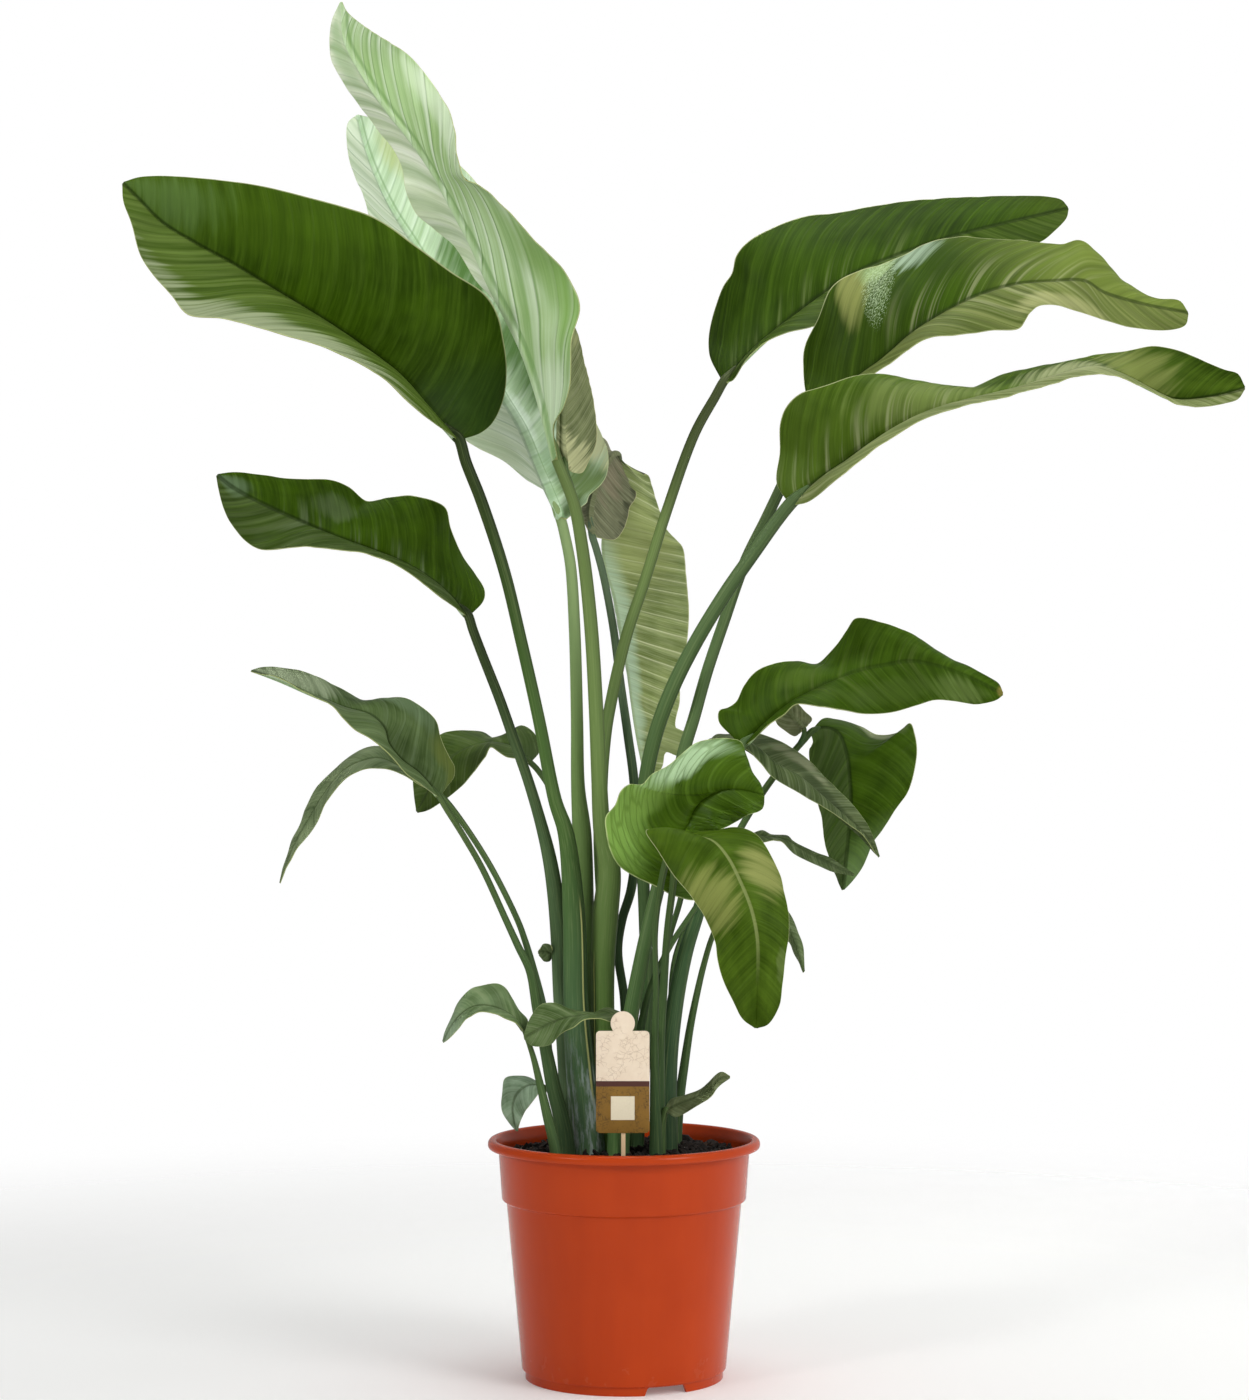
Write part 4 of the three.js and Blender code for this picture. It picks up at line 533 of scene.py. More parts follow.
def pieceOf(name, points, faces, looks, slots=None, layers=None, sharp=40):
    # points in millimetres, faces as lists of corners, slots the finish of each face, layers the values
    # kept for each corner
    mesh = bpy.data.meshes.new(name)
    mesh.from_pydata((np.asarray(points) / 1000).tolist(), [], [list(f) for f in faces])
    for look in looks:
        mesh.materials.append(look)
    if slots is not None:
        mesh.polygons.foreach_set("material_index", np.asarray(slots, np.int32))
    corners = np.zeros(len(mesh.loops), np.int32)
    mesh.loops.foreach_get("vertex_index", corners)
    for key, values in (layers or {}).items():
        layer = mesh.uv_layers.new(name=key)
        layer.data.foreach_set("uv", np.asarray(values, np.float32)[corners].ravel())
    mesh.polygons.foreach_set("use_smooth", np.ones(len(mesh.polygons), bool))
    mesh.set_sharp_from_angle(angle=math.radians(sharp))
    mesh.update()
    piece = bpy.data.objects.new(name, mesh)
    bpy.context.scene.collection.objects.link(piece)
    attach(piece, "root")
    return piece


def sheetOf(leaf):
    # the blade's middle surface by the row u from stalk to tip and the place t from the rib to an edge
    rib = smoothLine(leaf["rib"])
    first, last = leaf["rib"][0][:2], leaf["rib"][-1][:2]
    edges = {side: smoothLine([first, *leaf[key], last]) for side, key in ((1, "right"), (-1, "left"))}
    neck = leaf["stalk"][-1][3]
    rows = np.linspace(0, 1, 401)

    def reach(u, side):
        share = np.clip(u, 0.001, 0.999)
        half = leaf["half"][0 if side > 0 else 1] * np.sin(np.pi * share ** leaf["peak"]) ** 0.75
        flat = rib(share)[:, :2] - edges[side](share)[:, :2]
        return np.sqrt(np.maximum(0, half ** 2 - np.sum(flat ** 2, axis=1)))

    leans = {}
    for side in (1, -1):
        steps = (-0.08, -0.04, 0, 0.04, 0.08)
        mean = sum(reach(np.clip(rows + step, 0, 1), side) for step in steps) / len(steps)
        ends = np.minimum(1, np.minimum(rows * 12, (1 - rows) * 12))
        leans[side] = soften(leaf["leans"][0 if side > 0 else 1] * mean * ends, 9)

    def ribPoint(u):
        return inSpace(rib(u))

    def edgePoint(u, side):
        inner = rib(u)
        outer = edges[side](u)
        depth = inner[:, 2] + np.interp(u, rows, leans[side])
        return inSpace(np.stack([outer[:, 0], outer[:, 1], depth], -1))

    def surface(u, t, side):
        # u has one value a row, t one row of values for each u
        inside = np.clip(u, 0.06, 0.94)
        spread = unit(edgePoint(inside, 1) - edgePoint(inside, -1))
        margin = (1.2 + neck * 0.7 * (1 - u) ** 6)[:, None]
        middle = ribPoint(u)
        edge = edgePoint(u, side) + side * margin * spread
        across = side * (edge - middle)
        width = np.linalg.norm(across, axis=1)
        along = unit(ribPoint(np.minimum(u + 0.02, 1)) - ribPoint(np.maximum(u - 0.02, 0)))
        facing = 1 if leaf["face"] == "under" else -1
        up = unit(np.cross(along, across)) * facing
        calm = np.minimum(1, np.minimum(u * 6, (1 - u) * 6))[:, None]
        bow = leaf["bow"][0 if side > 0 else 1] * width[:, None] * 4 * t * (1 - t)
        turns = leaf["waves"] * u[:, None] + (0.35 if side < 0 else 0)
        wave = leaf["wave"] * t ** 2 * calm * np.sin(2 * np.pi * turns)
        flat = middle[:, None] + (edge - middle)[:, None] * t[..., None]
        outward = unit(flat - [0, -sight["distance"], sight["height"]]) * facing
        return flat + up[:, None] * (bow + 0.25 * wave)[..., None] + outward * wave[..., None], width

    return surface


# What a blade has, unless its leaf says otherwise. rows run along it and cells across each half; peak sets
# where it is widest, nearer the stalk with a smaller number; keel is the rib's height under the blade at
# the stalk as a share of the stalk's radius, groove its dent on top; pleat is the veins' relief and
# pleatSpacing their distance, crowd how much closer they stand toward the tip; sweep is how far the veins
# of the right and the left half lean to the tip, curl how much more so at the edge; ripple is the small
# waves at the edge, rippled its share; byRib are the columns next to the rib, in keel widths, where a keel's
# width is keelReach times its height and at most mostKeel of a half.
blade = {
    "thickness": 0.8, "small": False, "rows": 160, "smallRows": 70, "cells": 24, "smallCells": 10,
    "peak": 0.6, "keel": 0.9, "groove": 0.3, "pleat": 0.3, "leftPleat": 1, "pleatSpacing": 24, "crowd": 0,
    "sweep": [0.7, 0.7], "curl": 0.35, "ripple": 0.4, "rippled": 1, "byRib": (0.45, 0.8, 1.0, 1.25),
    "keelReach": 1.15, "mostKeel": 0.3,
}


def leafPiece(leaf, looks):
    surface = sheetOf(leaf)
    neck = leaf["stalk"][-1][3]
    rows = leaf["smallRows"] if leaf["small"] else leaf["rows"]
    cells = leaf["smallCells"] if leaf["small"] else leaf["cells"]
    chance = np.random.default_rng(int(leaf["name"][-2:]))
    u = np.linspace(0, 1, rows + 1)
    length = distances(np.array(leaf["rib"], float))[-1]
    keel = neck * leaf["keel"] * (1 - u) ** 0.7 + 0.3
    halves = {}
    for side in (-1, 1):
        width = surface(u, np.ones((len(u), 1)), side)[1]
        near = np.minimum(keel * leaf["keelReach"] / np.maximum(width, 0.1), leaf["mostKeel"])
        shares = np.linspace(0, 1, cells + 1)[1:]
        inner = near[:, None] * leaf["byRib"]
        outer = inner[:, -1:] + (1 - inner[:, -1:]) * shares
        t = np.hstack([inner, outer])
        points, width = surface(u, t, side)
        halves[side] = (t, points, width)
    middle = surface(u, np.zeros((len(u), 1)), 1)[0]
    t = np.hstack([-halves[-1][0][:, ::-1], np.zeros((len(u), 1)), halves[1][0]])
    sheet = np.concatenate([halves[-1][1][:, ::-1], middle, halves[1][1]], axis=1)
    width = np.where(t < 0, halves[-1][2][:, None], halves[1][2][:, None])
    reach = np.abs(t) * width
    columns = t.shape[1]

    # distance along the leaf, carried out from the rib along the veins, which sweep toward the tip
    sweep = np.where(t < 0, leaf["sweep"][1], leaf["sweep"][0])
    vein = u[:, None] * length - sweep * reach * (1 + leaf["curl"] * np.abs(t))
    du = np.gradient(sheet, axis=0)
    dv = np.gradient(sheet, axis=1)
    normal = unit(np.cross(du, dv))
    calm = np.minimum(1, np.minimum(u * 8, (1 - u) * 8))[:, None]
    flatter = np.clip(reach / 12, 0, 1) * calm
    phase = chance.uniform(0, 6, 4)
    spacing, crowd = leaf["pleatSpacing"], leaf["crowd"]
    uneven = 0.3 * np.sin(vein / spacing / 2.3 + phase[0]) + 0.2 * np.sin(vein / spacing / 1.1 + phase[1])
    folds = vein / spacing * (1 - crowd + crowd * vein / length) + uneven
    away = 1 if leaf["face"] == "upper" else -1
    relief = leaf["pleat"] * np.where(t < 0, leaf["leftPleat"], 1)
    pleat = away * relief * (1 - np.abs(np.sin(np.pi * folds)) ** 0.7) * flatter
    swell = np.sin(vein / 9 + phase[2]) + 0.6 * np.sin(vein / 5.1 + phase[3])
    ripple = leaf["ripple"] * np.abs(t) ** 6 * calm * swell
    sheet = sheet + normal * (pleat + ripple * leaf["rippled"])[..., None]

    # the keel on the underside and the groove on top of it
    profile = np.sqrt(np.clip(1 - (reach / (keel[:, None] * 1.25)) ** 2, 0, 1))
    over = leaf["thickness"] / 2 + keel[:, None] * profile
    dent = np.clip(1 - reach / (keel[:, None] * 1.1), 0, 1)
    top = leaf["thickness"] / 2 - leaf["groove"] * keel[:, None] * dent
    behind, before = (over, top) if leaf["face"] == "upper" else (top, over)
    points = np.concatenate([(sheet + normal * behind[..., None]).reshape(-1, 3),
                             (sheet - normal * before[..., None]).reshape(-1, 3)])
    count = (rows + 1) * columns
    grid = np.arange(count).reshape(rows + 1, columns)
    a, b, c, d = (g.ravel() for g in (grid[:-1, :-1], grid[1:, :-1], grid[1:, 1:], grid[:-1, 1:]))
    back = np.stack([a, b, c, d], 1)
    front = np.stack([a, d, c, b], 1) + count
    loop = np.r_[grid[:, 0], grid[-1, 1:], grid[-2::-1, -1], grid[0, -2:0:-1]]
    follow = np.roll(loop, -1)
    rim = np.stack([loop, loop + count, follow + count, follow], 1)
    faces = np.concatenate([back, front, rim])
    far, close = (1, 0) if leaf["face"] == "upper" else (0, 1)
    slots = np.r_[np.full(len(back), far), np.full(len(front), close), np.full(len(rim), 2)]
    growth = np.stack([folds, np.sign(t) * reach / 1000], -1).reshape(-1, 2)
    share = np.stack([np.broadcast_to(u[:, None], t.shape), t], -1).reshape(-1, 2)
    layers = {"growth": np.vstack([growth, growth]), "share": np.vstack([share, share])}
    piece = pieceOf(leaf["name"] + "_blade", points, faces, looks, slots, layers, 60)
    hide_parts(leaf["name"])
    return piece


# The stalks: sides round, rows a span, flat how deep they are for their width. One that starts at start in
# the table comes out of the soil, and is led from the height soil down to foot. tuck is how far the end
# runs on under the rib, as a share of the rib, sink how deep it lies there and taper how thin it gets, as
# shares of the stalk's last radius.
stalk = {
    "sides": 26, "rows": 9, "flat": 0.82, "start": 230, "soil": 232, "foot": 190, "tuck": 0.05, "sink": 0.3,
    "taper": (0.85, 0.35),
}


def stalkTube(leaf):
    controls = [list(p[:3]) for p in leaf["stalk"]] + [leaf["rib"][0]]
    radii = [p[3] for p in leaf["stalk"]]
    radii.append(radii[-1])
    line = inSpace(controls)
    if leaf["stalk"][0][1] == stalk["start"]:
        line[0, 2] = stalk["soil"]
        line = np.vstack([[line[0, 0], line[0, 1], stalk["foot"]], line])
        radii.insert(0, radii[0])
    # its end runs on under the rib, where the keel takes over
    end = inSpace(smoothLine(leaf["rib"])(np.array([0.5, 1]) * stalk["tuck"]))
    down = np.array([0, 1 if leaf["face"] == "upper" else -1, 0]) * radii[-1] * stalk["sink"]
    line = np.vstack([line, end + down])
    radii += [radii[-1] * share for share in stalk["taper"]]
    spans = len(line) - 1
    shares = np.linspace(0, spans, spans * stalk["rows"] + 1)
    ends = withEnds(line)
    middle = []
    for share in shares:
        k = min(int(share), spans - 1)
        middle.append(bend(*ends[k:k + 4], share - k))
    middle = np.array(middle)
    radius = soften(np.interp(shares, np.arange(spans + 1), radii), stalk["rows"] // 2)
    along = unit(np.gradient(middle, axis=0))
    across = unit(np.cross([0, 1, 0], along))
    back = np.cross(along, across)
    angle = np.arange(stalk["sides"]) * 2 * np.pi / stalk["sides"]
    turn = angle[None, :, None]
    circle = np.cos(turn) * across[:, None] + stalk["flat"] * np.sin(turn) * back[:, None]
    return middle[:, None] + radius[:, None, None] * circle, distances(middle), angle, radius


def shootPiece(shoot, looks):
    points, faces, slots, growth, share = [], [], [], [], []
    own = [leaf for leaf in leaves if leaf["shoot"] == shoot]
    for leaf in own:
        rings, length, angle, radius = stalkTube(leaf)
        rows, sides = rings.shape[:2]
        first = sum(len(p) for p in points)
        grid = first + np.arange(rows * sides).reshape(rows, sides)
        points.append(rings.reshape(-1, 3))
        turned = np.roll(grid, -1, axis=1)
        walls = np.stack([grid[:-1], turned[:-1], turned[1:], grid[1:]], -1).reshape(-1, 4)
        faces += walls.tolist() + [grid[0, ::-1].tolist(), grid[-1].tolist()]
        slots += [own.index(leaf)] * (len(walls) + 2)
        across = np.cos(angle)[None] * radius[:, None] / 1000
        away = np.sin(angle)[None] * radius[:, None] / 1000
        for layer, along, side in ((growth, length / 1000, across), (share, length / length[-1], away)):
            layer.append(np.stack(np.broadcast_arrays(along[:, None], side), -1).reshape(-1, 2))
    layers = {"growth": np.vstack(growth), "share": np.vstack(share)}
    finishes = [looks(leaf) for leaf in own]
    piece = pieceOf("stalks_" + shoot, np.vstack(points), faces, finishes, slots, layers, 50)
    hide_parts("shoot_" + shoot)
    return piece


def filleted(profile, steps=4):
    # [radius, height, fillet] corners to a line with each corner rounded off
    line = []
    for k, (r, z, fillet) in enumerate(profile):
        here = np.array([r, z], float)
        if fillet == 0:
            line.append(here)
            continue
        before = np.array(profile[k - 1][:2], float) - here
        after = np.array(profile[(k + 1) % len(profile)][:2], float) - here
        reach = min(fillet, np.linalg.norm(before) * 0.49, np.linalg.norm(after) * 0.49)
        start, stop = here + unit(before) * reach, here + unit(after) * reach
        for w in np.linspace(0, 1, steps + 1):
            line.append((1 - w) ** 2 * start + 2 * w * (1 - w) * here + w ** 2 * stop)
    return np.array(line)


def turned(line, segments):
    # points and faces of a solid turned round the z axis; the line starts and ends on the axis
    angle = np.arange(segments) * 2 * np.pi / segments
    inner = line[1:-1]
    flat = [inner[:, :1] * np.cos(angle), inner[:, :1] * np.sin(angle)]
    rings = np.stack([*flat, np.tile(inner[:, 1:], segments)], -1)
    points = np.vstack([rings.reshape(-1, 3), [[0, 0, line[0, 1]], [0, 0, line[-1, 1]]]])
    grid = np.arange(len(inner) * segments).reshape(len(inner), segments)
    turn = np.roll(grid, -1, axis=1)
    faces = np.stack([grid[:-1], turn[:-1], turn[1:], grid[1:]], -1).reshape(-1, 4).tolist()
    low, high = len(points) - 2, len(points) - 1
    faces += [[low, b, a] for a, b in zip(grid[0], turn[0])]
    faces += [[high, a, b] for a, b in zip(grid[-1], turn[-1])]
    return points, faces


def applied(piece):
    # the piece with its modifiers worked into the mesh
    graph = bpy.context.evaluated_depsgraph_get()
    graph.update()
    mesh = bpy.data.meshes.new_from_object(piece.evaluated_get(graph))
    piece.modifiers.clear()
    piece.data = mesh
    return piece


pot = {
    "segments": 160, "rimRadius": 136, "rimTop": 238, "rimHeight": 9, "mouthRadius": 127.5,
    "collarTop": 125.5, "collarFoot": 122, "collarHeight": 178, "wallTop": 117.5, "wallFoot": 102,
    "wallHeight": 9.5, "foot": 99, "footWidth": 4, "floor": 8.5, "floorThickness": 3, "boss": 18,
    "notch": 46, "notchTop": 38, "notchAngles": (25, 145, 265), "notchReach": (-80, -112),
}


def potPiece(look):
    p = pot
    lip = p["rimTop"] - p["rimHeight"]
    rim, mouth, collar = p["rimRadius"], p["mouthRadius"], p["collarHeight"]
    floorTop = p["floor"] + p["floorThickness"]
    ledge = p["foot"] - p["footWidth"]
    # the outline from the middle of the underside, up the outside, over the rim and down the inside, as
    # [radius, height, fillet]
    line = filleted([
        (0, 0, 0), (p["boss"], 0, 0.6), (p["boss"] - 1, p["floor"], 0.6), (ledge, p["floor"], 0.6),
        (ledge, 0, 0.7), (p["foot"], 0, 0.8), (p["foot"], p["wallHeight"] - 0.5, 0.7),
        (p["wallFoot"], p["wallHeight"], 0.9), (p["wallTop"], collar - 2, 1), (p["collarFoot"], collar, 1.4),
        (p["collarTop"], lip, 1.6), (rim - 1, lip, 1.2), (rim, lip + 2, 1.5), (rim, p["rimTop"] - 3, 1.8),
        (rim - 2.5, p["rimTop"], 2), (mouth + 1.5, p["rimTop"], 1.2), (mouth, p["rimTop"] - 1.5, 1.2),
        (mouth - 3, lip, 3), (p["collarFoot"] - 2, collar + 1, 1.5), (p["wallTop"] - 2, collar - 2.5, 1.2),
        (p["wallFoot"] - 3, p["wallHeight"] + 3, 2), (p["wallFoot"] - 6, floorTop, 1.5), (0, floorTop, 0),
    ])
    points, faces = turned(line, p["segments"])
    piece = pieceOf("nursery_pot", points, faces, [look], sharp=40)
    cutters = []
    for angle in p["notchAngles"]:
        a, b = p["notch"] / 2, p["notchTop"] / 2
        top = p["floor"] - 0.3
        flat = [(-a, -1), (a, -1), (b + 1, top - 1.2), (b - 0.6, top), (-b + 0.6, top), (-b - 1, top - 1.2)]
        cos, sin = math.cos(math.radians(angle)), math.sin(math.radians(angle))
        ring = [(x * cos - y * sin, x * sin + y * cos, z) for y in p["notchReach"] for x, z in flat]
        n = len(flat)
        sides = [[k, k + n, (k + 1) % n + n, (k + 1) % n] for k in range(n)]
        sides += [list(range(n)), list(range(2 * n - 1, n - 1, -1))]
        mesh = bpy.data.meshes.new("notch")
        mesh.from_pydata([[c / 1000 for c in q] for q in ring], [], sides)
        shape = bmesh.new()
        shape.from_mesh(mesh)
        bmesh.ops.recalc_face_normals(shape, faces=shape.faces)
        shape.to_mesh(mesh)
        shape.free()
        cutter = bpy.data.objects.new("notch", mesh)
        bpy.context.scene.collection.objects.link(cutter)
        cutters.append(cutter)
        cut = piece.modifiers.new("notch", "BOOLEAN")
        cut.operation = "DIFFERENCE"
        cut.object = cutter
    applied(piece)
    for cutter in cutters:
        bpy.data.objects.remove(cutter)
    piece.data.set_sharp_from_angle(angle=math.radians(40))
    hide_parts("pot")
    return piece


soil = {
    "top": 222, "mound": 4, "radius": 120, "rings": 46, "segments": 150, "clear": 0.3, "foot": 94,
    "lumps": 1250, "lumpSize": (1.2, 3.2), "bigger": 1.6, "biggerShare": 0.12, "barkShare": 0.25,
    "specks": 70, "speckSize": (0.8, 1.7), "seed": 7,
}


def soilPiece(looks):
    chance = np.random.default_rng(soil["seed"])
    top, mound, radius = soil["top"], soil["mound"], soil["radius"]
    floor = pot["floor"] + pot["floorThickness"] + soil["clear"]
    rings = np.linspace(1, 0.03, soil["rings"]) * radius
    line = [[0, floor], [soil["foot"], floor], [98.5, floor + 8], [113, 172], [116, 182]]
    line += [[radius - 0.5, top - 6], *([r, top + mound * (1 - r / radius)] for r in rings), [0, top + mound]]
    points, faces = turned(np.array(line, float), soil["segments"])
    rough = (points[:, 2] > top - 4) & (np.hypot(points[:, 0], points[:, 1]) < radius - 2)
    waves = 1.4 * np.sin(points[rough, 0] / 9) * np.cos(points[rough, 1] / 7)
    points[rough, 2] += chance.normal(0, 0.9, rough.sum()) + waves
    slots = [0] * len(faces)
    ball = bmesh.new()
    bmesh.ops.create_icosphere(ball, subdivisions=1, radius=1)
    bmesh.ops.triangulate(ball, faces=ball.faces)
    shape = np.array([v.co for v in ball.verts])
    corners = np.array([[v.index for v in f.verts] for f in ball.faces])
    ball.free()
    allPoints, allFaces = [points], list(faces)
    count = len(points)
    for k in range(soil["lumps"] + soil["specks"]):
        speck = k >= soil["lumps"]
        away = (radius - 4) * math.sqrt(chance.uniform(0, 1))
        turn = chance.uniform(0, 2 * math.pi)
        if speck:
            size = chance.uniform(*soil["speckSize"])
        else:
            size = chance.uniform(*soil["lumpSize"])
            size *= soil["bigger"] if chance.uniform() < soil["biggerShare"] else 1
        stretch = chance.uniform(0.5, 1.5, 3) * size
        twist = np.linalg.qr(chance.normal(size=(3, 3)))[0]
        if np.linalg.det(twist) < 0:
            twist[:, 0] *= -1
        lump = (shape * (1 + chance.normal(0, 0.16, (len(shape), 1))) * stretch) @ twist.T
        height = top + mound * (1 - away / radius) + chance.uniform(-0.3, 1.2)
        allPoints.append(lump + [away * math.cos(turn), away * math.sin(turn), height + 0.4 * size])
        allFaces += (corners + count).tolist()
        slots += [2 if speck else int(chance.uniform() < soil["barkShare"])] * len(corners)
        count += len(shape)
    piece = pieceOf("potting_soil", np.vstack(allPoints), allFaces, looks, slots, sharp=35)
    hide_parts("soil")
    return piece


label = {
    "across": -1.2, "depth": -96, "width": 52, "thickness": 1, "bottom": 255.5, "top": 354.7, "corner": 4,
    "head": 11.8, "headHeight": 362, "bandLow": 300.7, "bandHigh": 306, "square": 11.5, "squareHeight": 279.7,
    "stick": 4.2, "stickThick": 2, "stickTop": 340, "stickFoot": 190, "stickAcross": -0.7, "clear": 0.3,
}


def arc(x, z, radius, start, stop, steps):
    turns = np.radians(np.linspace(start, stop, steps))
    return [(x + radius * math.cos(a), z + radius * math.sin(a)) for a in turns]


def slab(name, outline, front, back, looks, bevel):
    # a flat outline in [across, height] with its front and back at these depths, edges rounded a little
    n = len(outline)
    points = [(x, front, z) for x, z in outline] + [(x, back, z) for x, z in outline]
    faces = [list(range(n)), list(range(2 * n - 1, n - 1, -1))]
    faces += [[(k + 1) % n, k, k + n, (k + 1) % n + n] for k in range(n)]
    piece = pieceOf(name, points, faces, looks, sharp=30)
    rounding = piece.modifiers.new("edge", "BEVEL")
    rounding.width = bevel / 1000
    rounding.segments = 2
    rounding.limit_method = "ANGLE"
    rounding.angle_limit = math.radians(60)
    applied(piece)
    piece.data.set_sharp_from_angle(angle=math.radians(50))
    return piece


def labelPieces(printed, wood):
    c = label
    w, r = c["width"] / 2, c["corner"]
    lift = math.degrees(math.asin((c["headHeight"] - c["top"]) / c["head"]))
    outline = (arc(w - r, c["bottom"] + r, r, -90, 0, 9) + arc(w - r, c["top"] - r, r, 0, 90, 9)
               + arc(0, c["headHeight"], c["head"], -lift, 180 + lift, 40)
               + arc(-w + r, c["top"] - r, r, 90, 180, 9) + arc(-w + r, c["bottom"] + r, r, 180, 270, 9))
    outline = [(x + c["across"], z) for x, z in outline]
    card = slab("plant_label", outline, c["depth"], c["depth"] + c["thickness"], [printed], 0.22)
    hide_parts("label_card")
    left, right = c["stickAcross"] - c["stick"] / 2, c["stickAcross"] + c["stick"] / 2
    low, high = c["stickFoot"], c["stickTop"]
    back = c["depth"] + c["thickness"] + c["clear"]
    stick = slab("label_stick_wood", [(left, low), (right, low), (right, high), (left, high)],
                 back, back + c["stickThick"], [wood], 0.4)
    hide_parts("label_stick")
    return card, stick


def potLook():
    f = Finish("glossy_terracotta_plastic")
    place = f.place()
    height = f.split(place)[2]
    flow = f.noise(f.stretched(place, (1, 1, 0.12)), 26, 4)
    cloud = f.noise(place, 9, 3)
    colour = f.mix(flow.above(0.52, 0.5), paint(184, 62, 15), paint(174, 57, 13))
    colour = f.over(colour, cloud.above(0.55, 0.4) * 0.5, (190, 67, 18))
    dust = f.noise(place, 60, 5).above(0.66, 0.2) * height.below(0.03, 0.04)
    colour = f.over(colour, dust * 0.12, (190, 110, 80))
    rough = 0.2 + cloud * 0.06 + dust * 0.2
    grain = f.noise(place, 900, 2) * 0.3 + flow * 0.7
    return f.close(colour, rough, grain, 0.00008, Specular_IOR_Level=0.16)


def soilLook(name, dark, light):
    f = Finish(name)
    place = f.place()
    crumb = f.noise(place, 420, 5, 0.65)
    colour = f.mix(crumb.above(0.5, 0.35), dark, light)
    fibre = f.noise(f.stretched(place, (1, 0.2, 1)), 700, 3)
    colour = f.over(colour, fibre.above(0.72, 0.08) * 0.7, (104, 78, 54))
    return f.close(colour, 0.75 + crumb * 0.2, crumb + fibre * 0.4, 0.0012, Specular_IOR_Level=0.3)


def speckLook():
    f = Finish("pale_grit")
    place = f.place()
    grain = f.noise(place, 900, 4)
    return f.close(f.mix(grain, paint(120, 112, 100), paint(196, 190, 178)), 0.8 + grain * 0.1, grain, 0.0003)


def cardLook():
    f = Finish("printed_card")
    place = f.place()
    x, z = f.split(place)[::2]
    wander = f.noise(place, 90, 4)
    bent = f.node("VectorMath", {"operation": "ADD"}, {0: place, 1: f.spot(wander * 0.012, wander * 0.009)})
    crack = f.node("TexVoronoi", {"feature": "DISTANCE_TO_EDGE"}, {"Vector": bent, "Scale": 210}, 0)
    patch = f.noise(place, 70, 2)
    lines = crack.below(0.035, 0.03) * patch.above(0.5, 0.12)
    cream = f.mix(f.noise(place, 160, 4), paint(226, 206, 180), paint(240, 224, 202))
    cream = f.mix(lines * 0.35, cream, paint(150, 112, 78))
    fleck = f.noise(place, 520, 5, 0.7)
    olive = f.mix(f.noise(place, 60, 3), paint(118, 84, 22), paint(142, 105, 34))
    olive = f.mix(fleck.above(0.6, 0.08) * patch.above(0.42, 0.2) * 0.8, olive, paint(58, 40, 12))
    olive = f.mix(lines * 0.7, olive, paint(60, 42, 14))
    band = f.mix(fleck, paint(66, 32, 24), paint(84, 44, 33))
    soft = 0.0004
    colour = f.mix(z.above(label["bandLow"] / 1000, soft), olive, band)
    colour = f.mix(z.above(label["bandHigh"] / 1000, soft), colour, cream)
    side = label["square"] / 1000
    wide = (x - label["across"] / 1000).math("ABSOLUTE").below(side, soft)
    tall = (z - label["squareHeight"] / 1000).math("ABSOLUTE").below(side, soft)
    colour = f.mix(wide * tall, colour, f.mix(fleck, paint(222, 210, 180), paint(236, 226, 200)))
    return f.close(colour, 0.55 + fleck * 0.15, lines * -1 + fleck * 0.2, 0.00012, Specular_IOR_Level=0.4)


def woodLook():
    f = Finish("pale_stick_wood")
    place = f.place()
    grain = f.noise(f.stretched(place, (1, 1, 0.05)), 1800, 4)
    colour = f.mix(grain, paint(214, 178, 132), paint(240, 214, 174))
    return f.close(colour, 0.65 + grain * 0.1, grain, 0.0001)


# What a blade's finish has, unless its family or its leaf says otherwise. wander is how far the veins
# stray, lineWidth how wide the raised ones are, lineSides how strong they are in the right and the left
# half, slopes the painted light on their flanks, slant how far the patches lean to the tip at the edge,
# ribEnd where the rib's colour stops, as a share of the blade.
usual = {"wander": 0.25, "lineWidth": 0.12, "lineSides": (1, 1), "slopes": 0.1, "slant": 0, "ribEnd": 2}

# The noises that follow the veins, as [how fine along the blade, how fine outward, detail, roughness].
weaves = {
    "fine": (9, 22, 4, 0.6), "hair": (26, 16, 2, 0.55), "streak": (2.6, 9, 3, 0.55),
    "sway": (0.9, 3, 2, 0.55), "thin": (2.2, 5, 3, 0.6),
}
